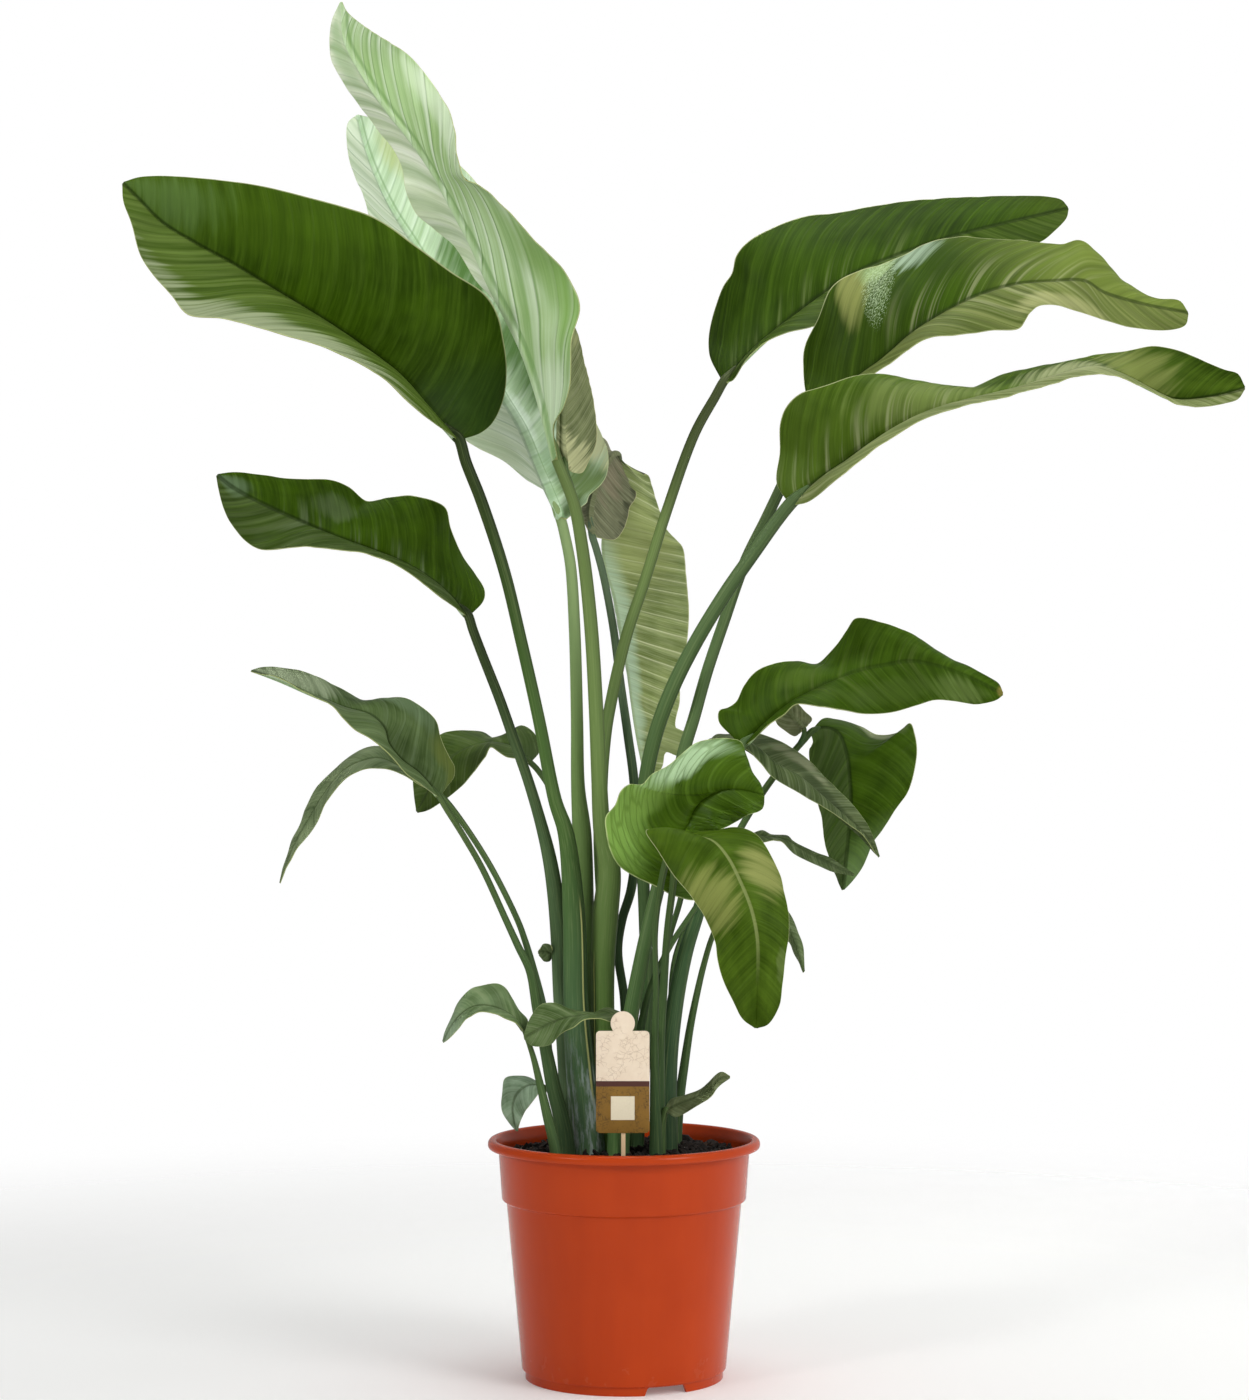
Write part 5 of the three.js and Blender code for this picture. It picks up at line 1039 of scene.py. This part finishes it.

# Finishes of the blades. dark and light run through the blade; vein is the fine streaks, line the raised
# veins where they have a colour of their own, with a painted highlight on their crests where it is pale
# and painted shade in the creases where it is dark; fold is painted shade that darkens the dips between
# them; veins, lines, folds and ribs are the shares of these colours; half tints one side of the rib, as
# [side, share, dark, light], right being 1 and left -1, partly the half's own colour and partly painted
# sheen and painted light; tip and base are [colour, where, share]; glints are painted highlights, pale
# streaks by the rib, [colour, share, reach in mm, from, to]; patches are soft clouds, [along, across, size
# along, size across, colour, share, how far they follow the veins], with one more number where they are
# broken up into specks, some the blade's own colour and some painted sheen, highlights and shadow;
# crumple is a net of small dents.
blades = {
    "deep": {"dark": (36, 58, 0), "light": (58, 86, 4), "vein": (88, 116, 36), "veins": 0.2, "lines": 0.12,
        "fold": (26, 44, 0), "folds": 0.22, "rib": (30, 44, 12), "ribs": 0.6, "ribWidth": 2.2,
        "margin": (176, 182, 132), "rough": 0.5, "shine": 0.05},
    # mint, the pale underside, is its own glaucous colour brightened with painted light that stands in for
    # light shining through the blade
    "mint": {"dark": (162, 192, 136), "light": (198, 220, 182), "vein": (222, 236, 214), "veins": 0.35,
        "lines": 0.6, "fold": (120, 158, 88), "folds": 0.6, "rib": (150, 178, 128), "ribs": 0.8,
        "ribWidth": 5, "margin": (206, 216, 168), "rough": 0.6, "shine": 0.15},
    "olive": {"dark": (88, 96, 60), "light": (128, 134, 96), "vein": (158, 162, 126), "veins": 0.5,
        "lines": 0.3, "fold": (70, 76, 46), "folds": 0.5, "rib": (110, 120, 80), "ribs": 0.4, "ribWidth": 3,
        "margin": (206, 202, 150), "rough": 0.6, "shine": 0.12},
    "lime": {"dark": (106, 122, 64), "light": (142, 156, 88), "vein": (178, 190, 132), "veins": 0.25,
        "lines": 0.35, "fold": (92, 110, 54), "folds": 0.35, "rib": (150, 168, 110), "ribs": 0.4,
        "ribWidth": 3, "margin": (196, 202, 156), "rough": 0.58, "shine": 0.12},
    "grey": {"dark": (66, 84, 44), "light": (98, 116, 72), "vein": (142, 156, 116), "veins": 0.35,
        "lines": 0.25, "fold": (46, 62, 30), "folds": 0.4, "rib": (62, 76, 42), "ribs": 0.5,
        "ribWidth": 1.6, "margin": (160, 172, 120), "rough": 0.55, "shine": 0.1},
    "fresh": {"dark": (46, 72, 0), "light": (64, 92, 8), "vein": (104, 138, 44), "veins": 0.25,
        "lines": 0.25, "fold": (38, 62, 0), "folds": 0.35, "rib": (48, 72, 8), "ribs": 0.5, "ribWidth": 1.6,
        "margin": (190, 204, 140), "rough": 0.42, "shine": 0.1},
}


def bladeLook(name, c):
    f = Finish(name)
    growth = f.node("UVMap", {"uv_map": "growth"})
    share = f.node("UVMap", {"uv_map": "share"})
    pleat, across = f.split(growth, 2)
    along, side = f.split(share, 2)
    reach = across.math("ABSOLUTE")
    edge = side.math("ABSOLUTE")
    flow = f.spot(pleat, reach * 14)
    line = pleat + f.noise(flow, 0.9, 2) * c["wander"]

    def weave(kind):
        tight, outward, detail, rough = weaves[kind]
        return f.noise(f.spot(line * tight, reach * outward), 1, detail, rough)

    fine, streak, sway = weave("fine"), weave("streak"), weave("sway")
    cloud = f.noise(f.spot(along * 3.4, side * 1.3), 1, 3)
    valley = line.math("PINGPONG", 0.5) * 2
    ridge = valley.below(c["lineWidth"], 0.2)
    tone = cloud * 0.62 + streak * 0.26 + fine * 0.12
    colour = f.mix(tone.above(0.5, 0.34), paint(*c["dark"]), paint(*c["light"]))
    if "tip" in c:
        colour = f.over(colour, along.above(c["tip"][1], 0.4) * c["tip"][2], c["tip"][0])
    if "base" in c:
        colour = f.over(colour, along.below(c["base"][1], 0.35) * c["base"][2], c["base"][0])
    # the tint of one half is partly its own colour and partly painted sheen and painted light
    if "half" in c:
        which, amount, dark, light = c["half"]
        mask = side.above(0, 0.04) if which > 0 else side.below(0, 0.04)
        other = f.mix(streak.above(0.5, 0.4), paint(*dark), paint(*light))
        colour = f.mix(mask * amount, colour, other)
    # painted shade in the dips between the veins
    colour = f.over(colour, valley.above(0.5, 0.9) * sway.above(0.45, 0.3) * c["folds"], c["fold"])
    colour = f.over(colour, fine.above(0.55, 0.35) * c["veins"], c["vein"])
    right, left = c["lineSides"]
    sided = side.above(0, 0.04) * (right - left) + left
    # painted light on one flank of each vein
    slope = line.math("FRACT").below(0.25, 0.5) * sway.above(0.45, 0.4) * sided
    colour = f.over(colour, slope * c["slopes"], c["vein"])
    # the raised veins: their own colour with a painted highlight on the crests, and where the line colour is
    # dark, painted shade in the creases
    ridged = ridge * sway.above(0.4, 0.3) * sided
    colour = f.over(colour, ridged * c["lines"], c.get("line", c["vein"]))
    # some patches are the blade's own colour, others painted sheen, highlights and shadow
    for at, off, tall, wide, tint, amount, follow, *broken in c.get("patches", []):
        spread = ((along - edge * c["slant"] - at) / tall) ** 2 + ((side - off) / wide) ** 2
        mask = 1 - spread + (streak - 0.5) * follow * 3
        if broken:
            grain = f.noise(f.spot(pleat * broken[0], across * broken[0] * 40), 1, 5, 0.7)
            mask = ((mask - 1) * 0.5 + (grain - 0.5) * 8).above(0, 0.5) * spread.below(1.1, 0.6)
        else:
            mask = mask.above(0.5, 1.0)
        colour = f.over(colour, mask * amount, tint)
    # glints: painted highlights in pale streaks by the rib
    if "glints" in c:
        tint, amount, wide, low, high = c["glints"]
        near = reach.below(wide / 1000, wide / 600) * along.above(low, 0.16) * along.below(high, 0.2)
        colour = f.over(colour, weave("thin").above(0.57, 0.16) * near * amount, tint)
    colour = f.over(colour, weave("hair").above(0.5, 0.5) * 0.14, c["fold"])
    colour = f.scaled(colour, (fine + streak) * 0.22 + 0.78)
    rough = streak * 0.14 + (c["rough"] - 0.07)
    ribbed = reach.below(c["ribWidth"] / 1000, c["ribWidth"] / 1300) * along.below(c["ribEnd"], 0.3)
    colour = f.over(colour, ribbed * c["ribs"], c["rib"])
    if "ribShade" in c:
        away = (reach * (1000 / c["ribWidth"]) - 1.9).math("ABSOLUTE")
        beside = away.below(0.5, 0.8) * side.above(0, 0.004)
        colour = f.over(colour, beside * 0.6, c["ribShade"])
    colour = f.over(colour, edge.above(0.99, 0.012) * 0.8, c["margin"])
    height = ridge * 0.7 + fine * 0.3 + streak * 0.3
    if "crumple" in c:
        dents = {"Vector": f.spot(pleat * 3, reach * 120), "Scale": 1}
        net = f.node("TexVoronoi", {"feature": "DISTANCE_TO_EDGE"}, dents)
        height = height + net.above(0.1, 0.2) * c["crumple"] * edge.above(0.55, 0.3)
        colour = f.over(colour, net.below(0.06, 0.1) * edge.above(0.55, 0.3) * 0.4, (70, 100, 24))
    return f.close(colour, rough, height, 0.0005, Specular_IOR_Level=c["shine"])


def marginLook():
    f = Finish("leaf_margin")
    place = f.place()
    tone = f.noise(place, 40, 3)
    return f.close(f.mix(tone, paint(120, 138, 70), paint(178, 182, 120)), 0.5 + tone * 0.1, tone, 0.0002)


# The usual finish of a stalk: foot, middle and top colours run up it; lit is the side painted brighter, a
# painted light and shade round the stalk, in degrees round from the right edge by the back, with the shares
# of brightness there and opposite. bloom is a chalky foot; a seam is a sheath's pale edge with a painted
# shadow beside it, as [degrees, from and to along the stalk, width in degrees, colour].
plainStalk = {"foot": (54, 78, 48), "middle": (62, 86, 46), "top": (60, 80, 40), "lit": (-130, 1.35, 0.45)}


def stalkLook(name, c):
    f = Finish(name)
    along, side = f.split(f.node("UVMap", {"uv_map": "growth"}), 2)
    share, depth = f.split(f.node("UVMap", {"uv_map": "share"}), 2)
    turn = f.node("Math", {"operation": "ARCTAN2"}, {0: depth, 1: side}) * (180 / math.pi)
    lengthwise = f.spot(side * 260, depth * 260, along * 5)
    fibre = f.noise(f.spot(side * 900, depth * 900, along * 9), 1, 4)
    cloud = f.noise(lengthwise, 1, 3)
    colour = f.mix(share.above(0.25, 0.5), paint(*c["foot"]), paint(*c["middle"]))
    colour = f.over(colour, share.above(0.75, 0.4), c["top"])
    # painted light and shade: the stalk brighter on the side at lit and darker opposite
    where, bright, dim = c["lit"]
    tone = ((turn - where) * (math.pi / 180)).math("COSINE") * 0.5 + 0.5
    colour = f.scaled(colour, tone * (bright - dim) + dim + (cloud - 0.5) * 0.3)
    colour = f.over(colour, fibre.above(0.58, 0.3) * 0.16, (164, 180, 118))
    height = fibre
    if "bloom" in c:
        chalk = f.noise(f.spot(side * 160, depth * 160, along * 26), 1, 5, 0.7)
        colour = f.over(colour, chalk.above(0.56, 0.2) * along.below(0.13, 0.1) * c["bloom"], (176, 190, 186))
    for at, low, high, wide, tint in c.get("seams", []):
        within = share.above(low, 0.04) * share.below(high, 0.04)
        mask = (turn - at).math("ABSOLUTE").below(wide, wide) * within
        colour = f.over(colour, mask, tint)
        # a painted shadow beside the sheath's pale edge
        shade = (turn - at - wide * 2.2).math("ABSOLUTE").below(wide, wide) * within
        colour = f.over(colour, shade * 0.5, (30, 46, 22))
        height = height + mask * 3
    return f.close(colour, 0.46 + cloud * 0.14, height, 0.0004, Specular_IOR_Level=0.15)


# what single leaves change of the usual blade
shapes = {
    "leaf_01": {"sweep": [0.6, 0.9], "pleatSpacing": 30, "rippled": 0.5},
    "leaf_02": {"sweep": [3.0, 0.6], "curl": -0.15, "pleatSpacing": 36, "crowd": 0.45, "pleat": 1.2,
        "leftPleat": 0.25, "cells": 46},
    "leaf_03": {"sweep": [0.7, 0.9], "pleatSpacing": 26, "pleat": 0.7, "cells": 34},
    "leaf_04": {"sweep": [1.2, 1.2], "pleatSpacing": 16, "smallCells": 16, "pleat": 0.9},
    "leaf_05": {"sweep": [-0.12, -0.12], "pleatSpacing": 15, "pleat": 0.6, "curl": 0},
    "leaf_06": {"sweep": [0.8, 0.9], "pleatSpacing": 28, "wave": 2.6, "rippled": 0.5},
    "leaf_07": {"sweep": [0.9, 1.0], "pleatSpacing": 24, "pleat": 0.5},
    "leaf_08": {"sweep": [0.9, 0.9], "pleatSpacing": 22, "pleat": 0.5},
}

# each face's family of finishes, and what it changes there; a face that isn't named is deep above, mint
# below
dress = {
    # on leaf_01 the pale lower half and the pale patches by the tip and on the lower half are painted sheen;
    # the dark base and the dark patch by the stalk are painted shade
    "leaf_01": {"upper": ("deep", {
        "base": [(34, 52, 4), 0.2, 0.85], "tip": [(70, 96, 24), 0.8, 0.7],
        "half": [-1, 0.9, (60, 82, 20), (100, 120, 56)],
        "patches": [[0.9, 0.45, 0.16, 0.6, (96, 124, 70), 0.4, 0.8],
          [0.5, -0.95, 0.4, 0.35, (156, 166, 132), 0.75, 1.0],
          [0.66, 0.6, 0.2, 0.6, (68, 96, 14), 0.45, 0.3], [0.1, 0.6, 0.12, 0.9, (44, 68, 26), 0.5, 0.3]]})},
    # on leaf_02 the near-white left half is partly its own pale colour and partly painted light on a half
    # that lies in shade; its dark lines are painted shade in the creases
    "leaf_02": {"under": ("mint", {
        "wander": 0.06, "dark": (158, 190, 122), "light": (200, 222, 180), "fold": (120, 160, 84),
        "folds": 0.6, "line": (96, 136, 60), "lines": 0.85, "lineSides": (1, 0.12), "lineWidth": 0.08,
        "vein": (238, 248, 230), "veins": 0.15, "slopes": 0.8, "rib": (186, 210, 166), "ribs": 0.55,
        "ribWidth": 3, "ribShade": (110, 148, 84), "base": [(178, 202, 152), 0.3, 0.3],
        "half": [-1, 0.95, (230, 243, 206), (249, 254, 236)],
        "patches": [[0.84, 0.3, 0.16, 0.6, (140, 172, 108), 0.5, 0.5],
          [0.34, 0.85, 0.2, 0.4, (132, 172, 86), 0.75, 0.5],
          [0.12, 0.4, 0.1, 0.5, (226, 242, 214), 0.6, 0.6],
          [0.9, -0.5, 0.1, 0.5, (172, 202, 148), 0.7, 0.5],
          [0.72, 0.85, 0.14, 0.3, (222, 236, 208), 0.6, 0.6]]})},
    # on leaf_03 the two dark green patches in the middle are painted shadow
    "leaf_03": {"under": ("mint", {
        "dark": (184, 212, 170), "light": (216, 238, 206), "vein": (232, 244, 228), "veins": 0.2,
        "lines": 0.45, "fold": (130, 168, 108), "line": (122, 162, 106), "lineWidth": 0.09, "folds": 0.5,
        "slopes": 0.5, "rib": (146, 180, 136), "ribs": 0.5, "ribWidth": 2.2, "ribShade": (112, 150, 98),
        "half": [-1, 0.8, (226, 240, 206), (244, 252, 232)],
        "patches": [[0.6, 0.5, 0.13, 0.55, (70, 108, 42), 0.97, 0.5],
          [0.38, 0.55, 0.17, 0.5, (66, 102, 38), 0.95, 0.5],
          [0.14, 0.3, 0.07, 0.3, (134, 168, 128), 0.7, 0.5],
          [0.26, 0.08, 0.09, 0.12, (232, 247, 230), 0.85, 0.5],
          [0.1, 0.75, 0.08, 0.7, (74, 96, 30), 0.92, 0.5],
          [0.19, 0.98, 0.07, 0.3, (212, 214, 166), 0.9, 1.0],
          [0.03, 0.7, 0.05, 0.6, (54, 76, 28), 0.95, 0.2],
          [0.88, 0.55, 0.08, 0.4, (184, 196, 122), 0.6, 0.4],
          [0.22, -0.8, 0.1, 0.4, (186, 204, 164), 0.6, 0.7]]})},
    "leaf_04": {"under": ("olive", {
        "dark": (82, 94, 50), "light": (122, 132, 86), "folds": 0.35, "slopes": 0.05, "lines": 0.2,
        "lineWidth": 0.08,
        "patches": [[0.12, 0.4, 0.14, 1.4, (190, 192, 144), 0.85, 1.6],
          [0.02, 0.2, 0.05, 0.9, (92, 84, 54), 0.7, 1.6],
          [0.9, 0.3, 0.12, 0.8, (150, 154, 106), 0.7, 0.8]]})},
    "leaf_05": {"upper": ("lime", {
        "dark": (112, 128, 68), "light": (162, 176, 112), "vein": (216, 222, 176), "lines": 0.8,
        "lineWidth": 0.08, "fold": (84, 102, 44), "folds": 0.6, "slopes": 0.15, "wander": 0.1,
        # the first patch is a painted highlight along the hanging part's edge
        "patches": [[0.7, 0.0, 0.4, 0.32, (190, 216, 184), 0.85, 0.3],
          [0.4, 0.45, 0.14, 0.6, (172, 182, 112), 0.5, 0.4],
          [0.85, 0.75, 0.12, 0.3, (142, 154, 100), 0.6, 0.6]]}),
        "under": ("olive", {
        "dark": (84, 88, 62), "light": (120, 122, 94), "lines": 0.12, "folds": 0.2, "slopes": 0.05,
        "patches": [[0.16, 0.35, 0.07, 0.5, (140, 130, 106), 0.6, 1.2],
          [0.26, 0.2, 0.07, 0.3, (76, 96, 62), 0.6, 1.2], [0.24, 0.95, 0.2, 0.16, (58, 62, 42), 0.8, 1.6]]})},
    # on leaf_06 the pale right half is painted sheen
    "leaf_06": {"upper": ("deep", {
        "dark": (30, 50, 0), "light": (48, 74, 2), "glints": [(122, 138, 82), 0.4, 20, 0.05, 0.6],
        "folds": 0.35, "half": [1, 0.6, (44, 66, 8), (88, 106, 48)], "tip": [(98, 118, 50), 0.98, 0.7]})},
    # on leaf_07 the pale right half is painted sheen and the dark base painted shade
    "leaf_07": {"upper": ("deep", {
        "dark": (30, 50, 0), "light": (50, 76, 2), "base": [(38, 56, 4), 0.3, 0.7],
        "tip": [(118, 134, 60), 0.6, 0.9], "slant": 0.15, "half": [1, 0.75, (88, 100, 46), (132, 140, 84)],
        "glints": [(166, 170, 126), 0.45, 30, 0.28, 0.75], "folds": 0.35,
        "patches": [[0.15, -0.8, 0.05, 0.4, (136, 142, 80), 0.8, 0.5],
          [0.2, -0.95, 0.045, 0.22, (142, 166, 110), 0.8, 0.5],
          [0.212, -0.72, 0.036, 0.42, (178, 198, 158), 0.65, 0, 16],
          [0.29, -0.92, 0.06, 0.24, (160, 182, 156), 0.75, 0.9],
          [0.36, -0.6, 0.05, 0.35, (46, 68, 12), 0.75, 0.4],
          [0.27, -0.4, 0.035, 0.3, (42, 62, 12), 0.6, 0.3],
          [0.54, 0.8, 0.14, 0.4, (172, 174, 120), 0.6, 0.5]]})},
    # on leaf_08 the pale right half is painted sheen
    "leaf_08": {"upper": ("deep", {
        "base": [(80, 102, 34), 0.2, 0.5], "glints": [(160, 166, 122), 0.6, 30, 0.02, 0.4],
        "light": (78, 104, 24), "half": [1, 0.8, (110, 124, 64), (166, 172, 124)],
        "patches": [[0.36, -0.3, 0.16, 0.7, (110, 126, 66), 0.75, 0.8],
          [0.62, 0.1, 0.12, 0.7, (158, 166, 120), 0.8, 0.9],
          [0.78, -0.4, 0.1, 0.8, (130, 140, 76), 0.75, 0.8]]})},
    # on leaf_09 both patches are painted sheen, at the tip and in a streak
    "leaf_09": {"upper": ("deep", {
        "half": [-1, 0.8, (50, 68, 22), (86, 100, 62)], "glints": [(120, 134, 100), 0.4, 14, 0.1, 0.8],
        "patches": [[0.95, 0.1, 0.09, 0.7, (104, 126, 94), 0.7, 0.3],
          [0.62, 0.5, 0.1, 0.3, (92, 108, 72), 0.5, 0.8]]})},
    "leaf_10": {"upper": ("deep", {
        "dark": (50, 68, 28), "light": (88, 108, 62), "vein": (122, 140, 104),
        "half": [-1, 0.7, (72, 92, 48), (110, 128, 86)],
        "patches": [[0.42, 0.85, 0.2, 0.3, (104, 124, 92), 0.6, 0.5],
          [0.14, 0.9, 0.14, 0.4, (92, 102, 44), 0.7, 0.5],
          [0.85, 0.4, 0.25, 0.9, (150, 162, 132), 0.8, 0.8]]})},
    # on leaf_13 the pale patches along the upper edge are painted sheen and highlights
    "leaf_13": {"upper": ("fresh", {
        "crumple": 1.2,
        "patches": [[0.5, -0.95, 0.2, 0.4, (128, 166, 76), 0.95, 0.3],
          [0.72, -0.85, 0.16, 0.26, (176, 206, 160), 0.9, 0.5],
          [0.56, -0.75, 0.1, 0.3, (110, 142, 60), 0.7, 0.4]]})},
    "leaf_14": {"upper": ("deep", {
        "rib": (134, 144, 88), "ribs": 0.7, "ribWidth": 1.6, "ribEnd": 0.7, "dark": (48, 70, 4),
        "light": (76, 102, 22), "slant": 0.1,
        "patches": [[0.38, 0.65, 0.17, 0.7, (132, 140, 74), 0.85, 0.8],
          [0.33, -0.6, 0.13, 0.6, (142, 148, 84), 0.9, 0.6],
          # a painted sheen by the upper edge
          [0.66, -0.85, 0.08, 0.22, (106, 122, 70), 0.5, 0.8],
          [0.92, 0, 0.09, 1.6, (44, 66, 0), 0.6, 0.2]]})},
    "leaf_15": {"upper": ("deep", {
        "glints": [(104, 120, 62), 0.35, 22, 0.2, 0.7], "lines": 0.05, "ribs": 0.3, "dark": (42, 64, 2),
        "light": (62, 90, 14),
        "patches": [[0.84, 0.6, 0.12, 0.6, (104, 124, 66), 0.6, 0.6],
          [0.3, -0.4, 0.08, 0.3, (84, 108, 40), 0.5, 0.5], [0.6, 0.6, 0.3, 0.35, (72, 94, 34), 0.6, 0.8],
          [1.0, -0.2, 0.03, 1.4, (150, 138, 70), 0.9, 0.1]]})},
    "leaf_16": {"upper": ("deep", {
        "light": (64, 92, 12), "tip": [(108, 134, 86), 0.82, 0.8],
        "half": [1, 0.7, (74, 98, 44), (104, 122, 76)],
        "patches": [[0.27, -0.9, 0.12, 0.22, (140, 148, 112), 0.85, 0.4]]})},
    "leaf_25": {"under": ("olive", {})},
}

# leaves that are grey green on both faces
greys = {
    "leaf_11": {"dark": (86, 106, 66), "light": (134, 150, 110)},
    "leaf_12": {"dark": (46, 68, 6), "light": (72, 94, 28), "veins": 0.12, "lines": 0.1,
        "base": [(62, 80, 44), 0.15, 0.8]},
    "leaf_17": {"dark": (62, 74, 40), "light": (92, 104, 66), "tip": [(54, 70, 24), 0.85, 0.8],
        "half": [1, 0.9, (48, 62, 26), (74, 90, 46)],
        "patches": [[0.44, -0.7, 0.2, 0.3, (134, 138, 108), 0.85, 0.9],
          [0.56, -0.3, 0.3, 0.3, (52, 64, 36), 0.7, 0.6]]},
    "leaf_18": {},
    "leaf_19": {},
    "leaf_24": {},
    "leaf_20": {"dark": (88, 112, 66), "light": (120, 144, 100), "tip": [(156, 178, 150), 0.75, 0.8],
        "base": [(72, 94, 46), 0.2, 0.7]},
    "leaf_21": {"dark": (58, 82, 28), "light": (96, 118, 70), "base": [(40, 56, 12), 0.25, 0.9]},
    "leaf_22": {"dark": (104, 128, 96), "light": (142, 164, 136), "vein": (168, 188, 162)},
    "leaf_23": {"dark": (88, 98, 58), "light": (122, 130, 92)},
}
for name, changes in greys.items():
    dress[name] = {"upper": ("grey", changes), "under": ("grey", changes)}

# what single stalks change of the usual finish
stalkDress = {
    "leaf_01": {"foot": (74, 104, 72), "middle": (62, 88, 40), "top": (32, 46, 12), "bloom": 0.85,
        "lit": (-140, 1.4, 0.45), "seams": [[-50, 0.12, 0.36, 5, (190, 194, 124)]]},
    "leaf_02": {"foot": (74, 108, 44), "middle": (92, 114, 60), "top": (86, 104, 56),
        "seams": [[-140, 0.12, 0.3, 4, (180, 190, 108)]]},
    "leaf_03": {"foot": (74, 102, 60), "middle": (96, 122, 66), "top": (124, 146, 96),
        "seams": [[-155, 0.25, 0.5, 6, (170, 172, 88)]]},
    "leaf_05": {"foot": (52, 74, 46), "middle": (56, 78, 50), "top": (78, 96, 72)},
    "leaf_06": {"foot": (80, 106, 56), "middle": (92, 112, 60), "top": (54, 64, 30)},
    "leaf_07": {"foot": (72, 104, 56), "middle": (70, 92, 52), "top": (50, 66, 34)},
    "leaf_08": {"foot": (50, 74, 42), "middle": (66, 90, 50), "top": (66, 86, 50)},
    "leaf_09": {"foot": (86, 110, 78), "middle": (66, 88, 54), "top": (38, 52, 22)},
    "leaf_15": {"foot": (42, 66, 42), "middle": (54, 80, 48), "top": (72, 94, 54)},
}

print("pot, soil and label")
potPiece(potLook())
peat = soilLook("dark_peat", paint(16, 12, 10), paint(40, 30, 24))
bark = soilLook("bark_bits", paint(30, 21, 16), paint(66, 48, 36))
soilPiece([peat, bark, speckLook()])
labelPieces(cardLook(), woodLook())

print("leaves")
margin = marginLook()
made = {}
for leaf in leaves:
    looks = []
    for side, common in (("upper", "deep"), ("under", "mint")):
        family, changes = dress.get(leaf["name"], {}).get(side, (common, {}))
        name = "leaf_" + family + ("_" + leaf["name"][-2:] if changes else "")
        if name not in made:
            made[name] = bladeLook(name, {**usual, **blades[family], **changes})
        looks.append(made[name])
    leafPiece({**blade, **leaf, **shapes.get(leaf["name"], {})}, [*looks, margin])


def dressStalk(leaf):
    changes = stalkDress.get(leaf["name"], {})
    name = "stalk_" + (leaf["name"][-2:] if changes else "plain")
    if name not in made:
        made[name] = stalkLook(name, {**plainStalk, **changes})
    return made[name]


print("stalks")
for shoot in sorted({leaf["shoot"] for leaf in leaves}):
    shootPiece(shoot, dressStalk)

print("floor and light")
studio = {
    "floor": (238, 238, 236), "grain": (240, 240, 239), "radius": 2.0, "fade": (1.35, 1.1), "glow": 0.15,
    "around": 0.48, "lean": 0.22,
}


def paleFloor():
    # a round floor whose rim fades into the white behind it, so that it stands in no view's way
    form = bmesh.new()
    bmesh.ops.create_circle(form, cap_ends=True, radius=studio["radius"], segments=96)
    mesh = bpy.data.meshes.new("floor")
    form.to_mesh(mesh)
    form.free()
    f = Finish("pale_floor")
    place = f.place()
    x, y = f.split(place, 2)
    reach = (x * x + y * y).math("SQRT")
    grain = f.noise(place, 40, 2)
    colour = f.mix(grain, paint(*studio["floor"]), paint(*studio["grain"]))
    mesh.materials.append(f.close(colour, 0.9 + grain * 0.02, Alpha=reach.below(*studio["fade"]),
                                  Emission_Color=(1, 1, 1), Emission_Strength=studio["glow"]))
    floor = bpy.data.objects.new("floor", mesh)
    bpy.context.scene.collection.objects.link(floor)


def whiteRoom():
    # white where the camera sees past the floor, dimmer as light and dimmest from the left
    world = bpy.data.worlds.new("studio")
    bpy.context.scene.world = world
    world.use_nodes = True
    tree = world.node_tree
    path = tree.nodes.new("ShaderNodeLightPath")
    place = tree.nodes.new("ShaderNodeTexCoord")
    parts = tree.nodes.new("ShaderNodeSeparateXYZ")
    tree.links.new(place.outputs["Generated"], parts.inputs[0])
    around = tree.nodes.new("ShaderNodeMath")
    around.operation = "MULTIPLY_ADD"
    around.inputs[1].default_value = studio["lean"]
    around.inputs[2].default_value = studio["around"]
    tree.links.new(parts.outputs["X"], around.inputs[0])
    level = tree.nodes.new("ShaderNodeMath")
    level.operation = "MAXIMUM"
    tree.links.new(path.outputs["Is Camera Ray"], level.inputs[0])
    tree.links.new(around.outputs[0], level.inputs[1])
    tree.links.new(level.outputs[0], tree.nodes["Background"].inputs["Strength"])
    tree.nodes["Background"].inputs["Color"].default_value = (1, 1, 1, 1)


def softLight(name, at, toward, size, power, spread=180):
    lamp = bpy.data.lights.new(name, "AREA")
    lamp.shape = "RECTANGLE"
    lamp.size, lamp.size_y = size
    lamp.energy = power
    lamp.spread = math.radians(spread)
    box = bpy.data.objects.new(name, lamp)
    box.location = at
    box.rotation_euler = (Vector(toward) - Vector(at)).to_track_quat("-Z", "Y").to_euler()
    bpy.context.scene.collection.objects.link(box)


paleFloor()
whiteRoom()
softLight("key", (2.7, -2.5, 2.3), (0, 0, 0.7), (1.6, 2.0), 69)
softLight("fill", (-2.4, -2.2, 2.4), (-0.15, 0, 1.2), (1.2, 1.6), 3.5, 24)
softLight("top", (0.2, 0.2, 3.4), (0, 0, 0.6), (2.4, 1.8), 36)

print("all made")
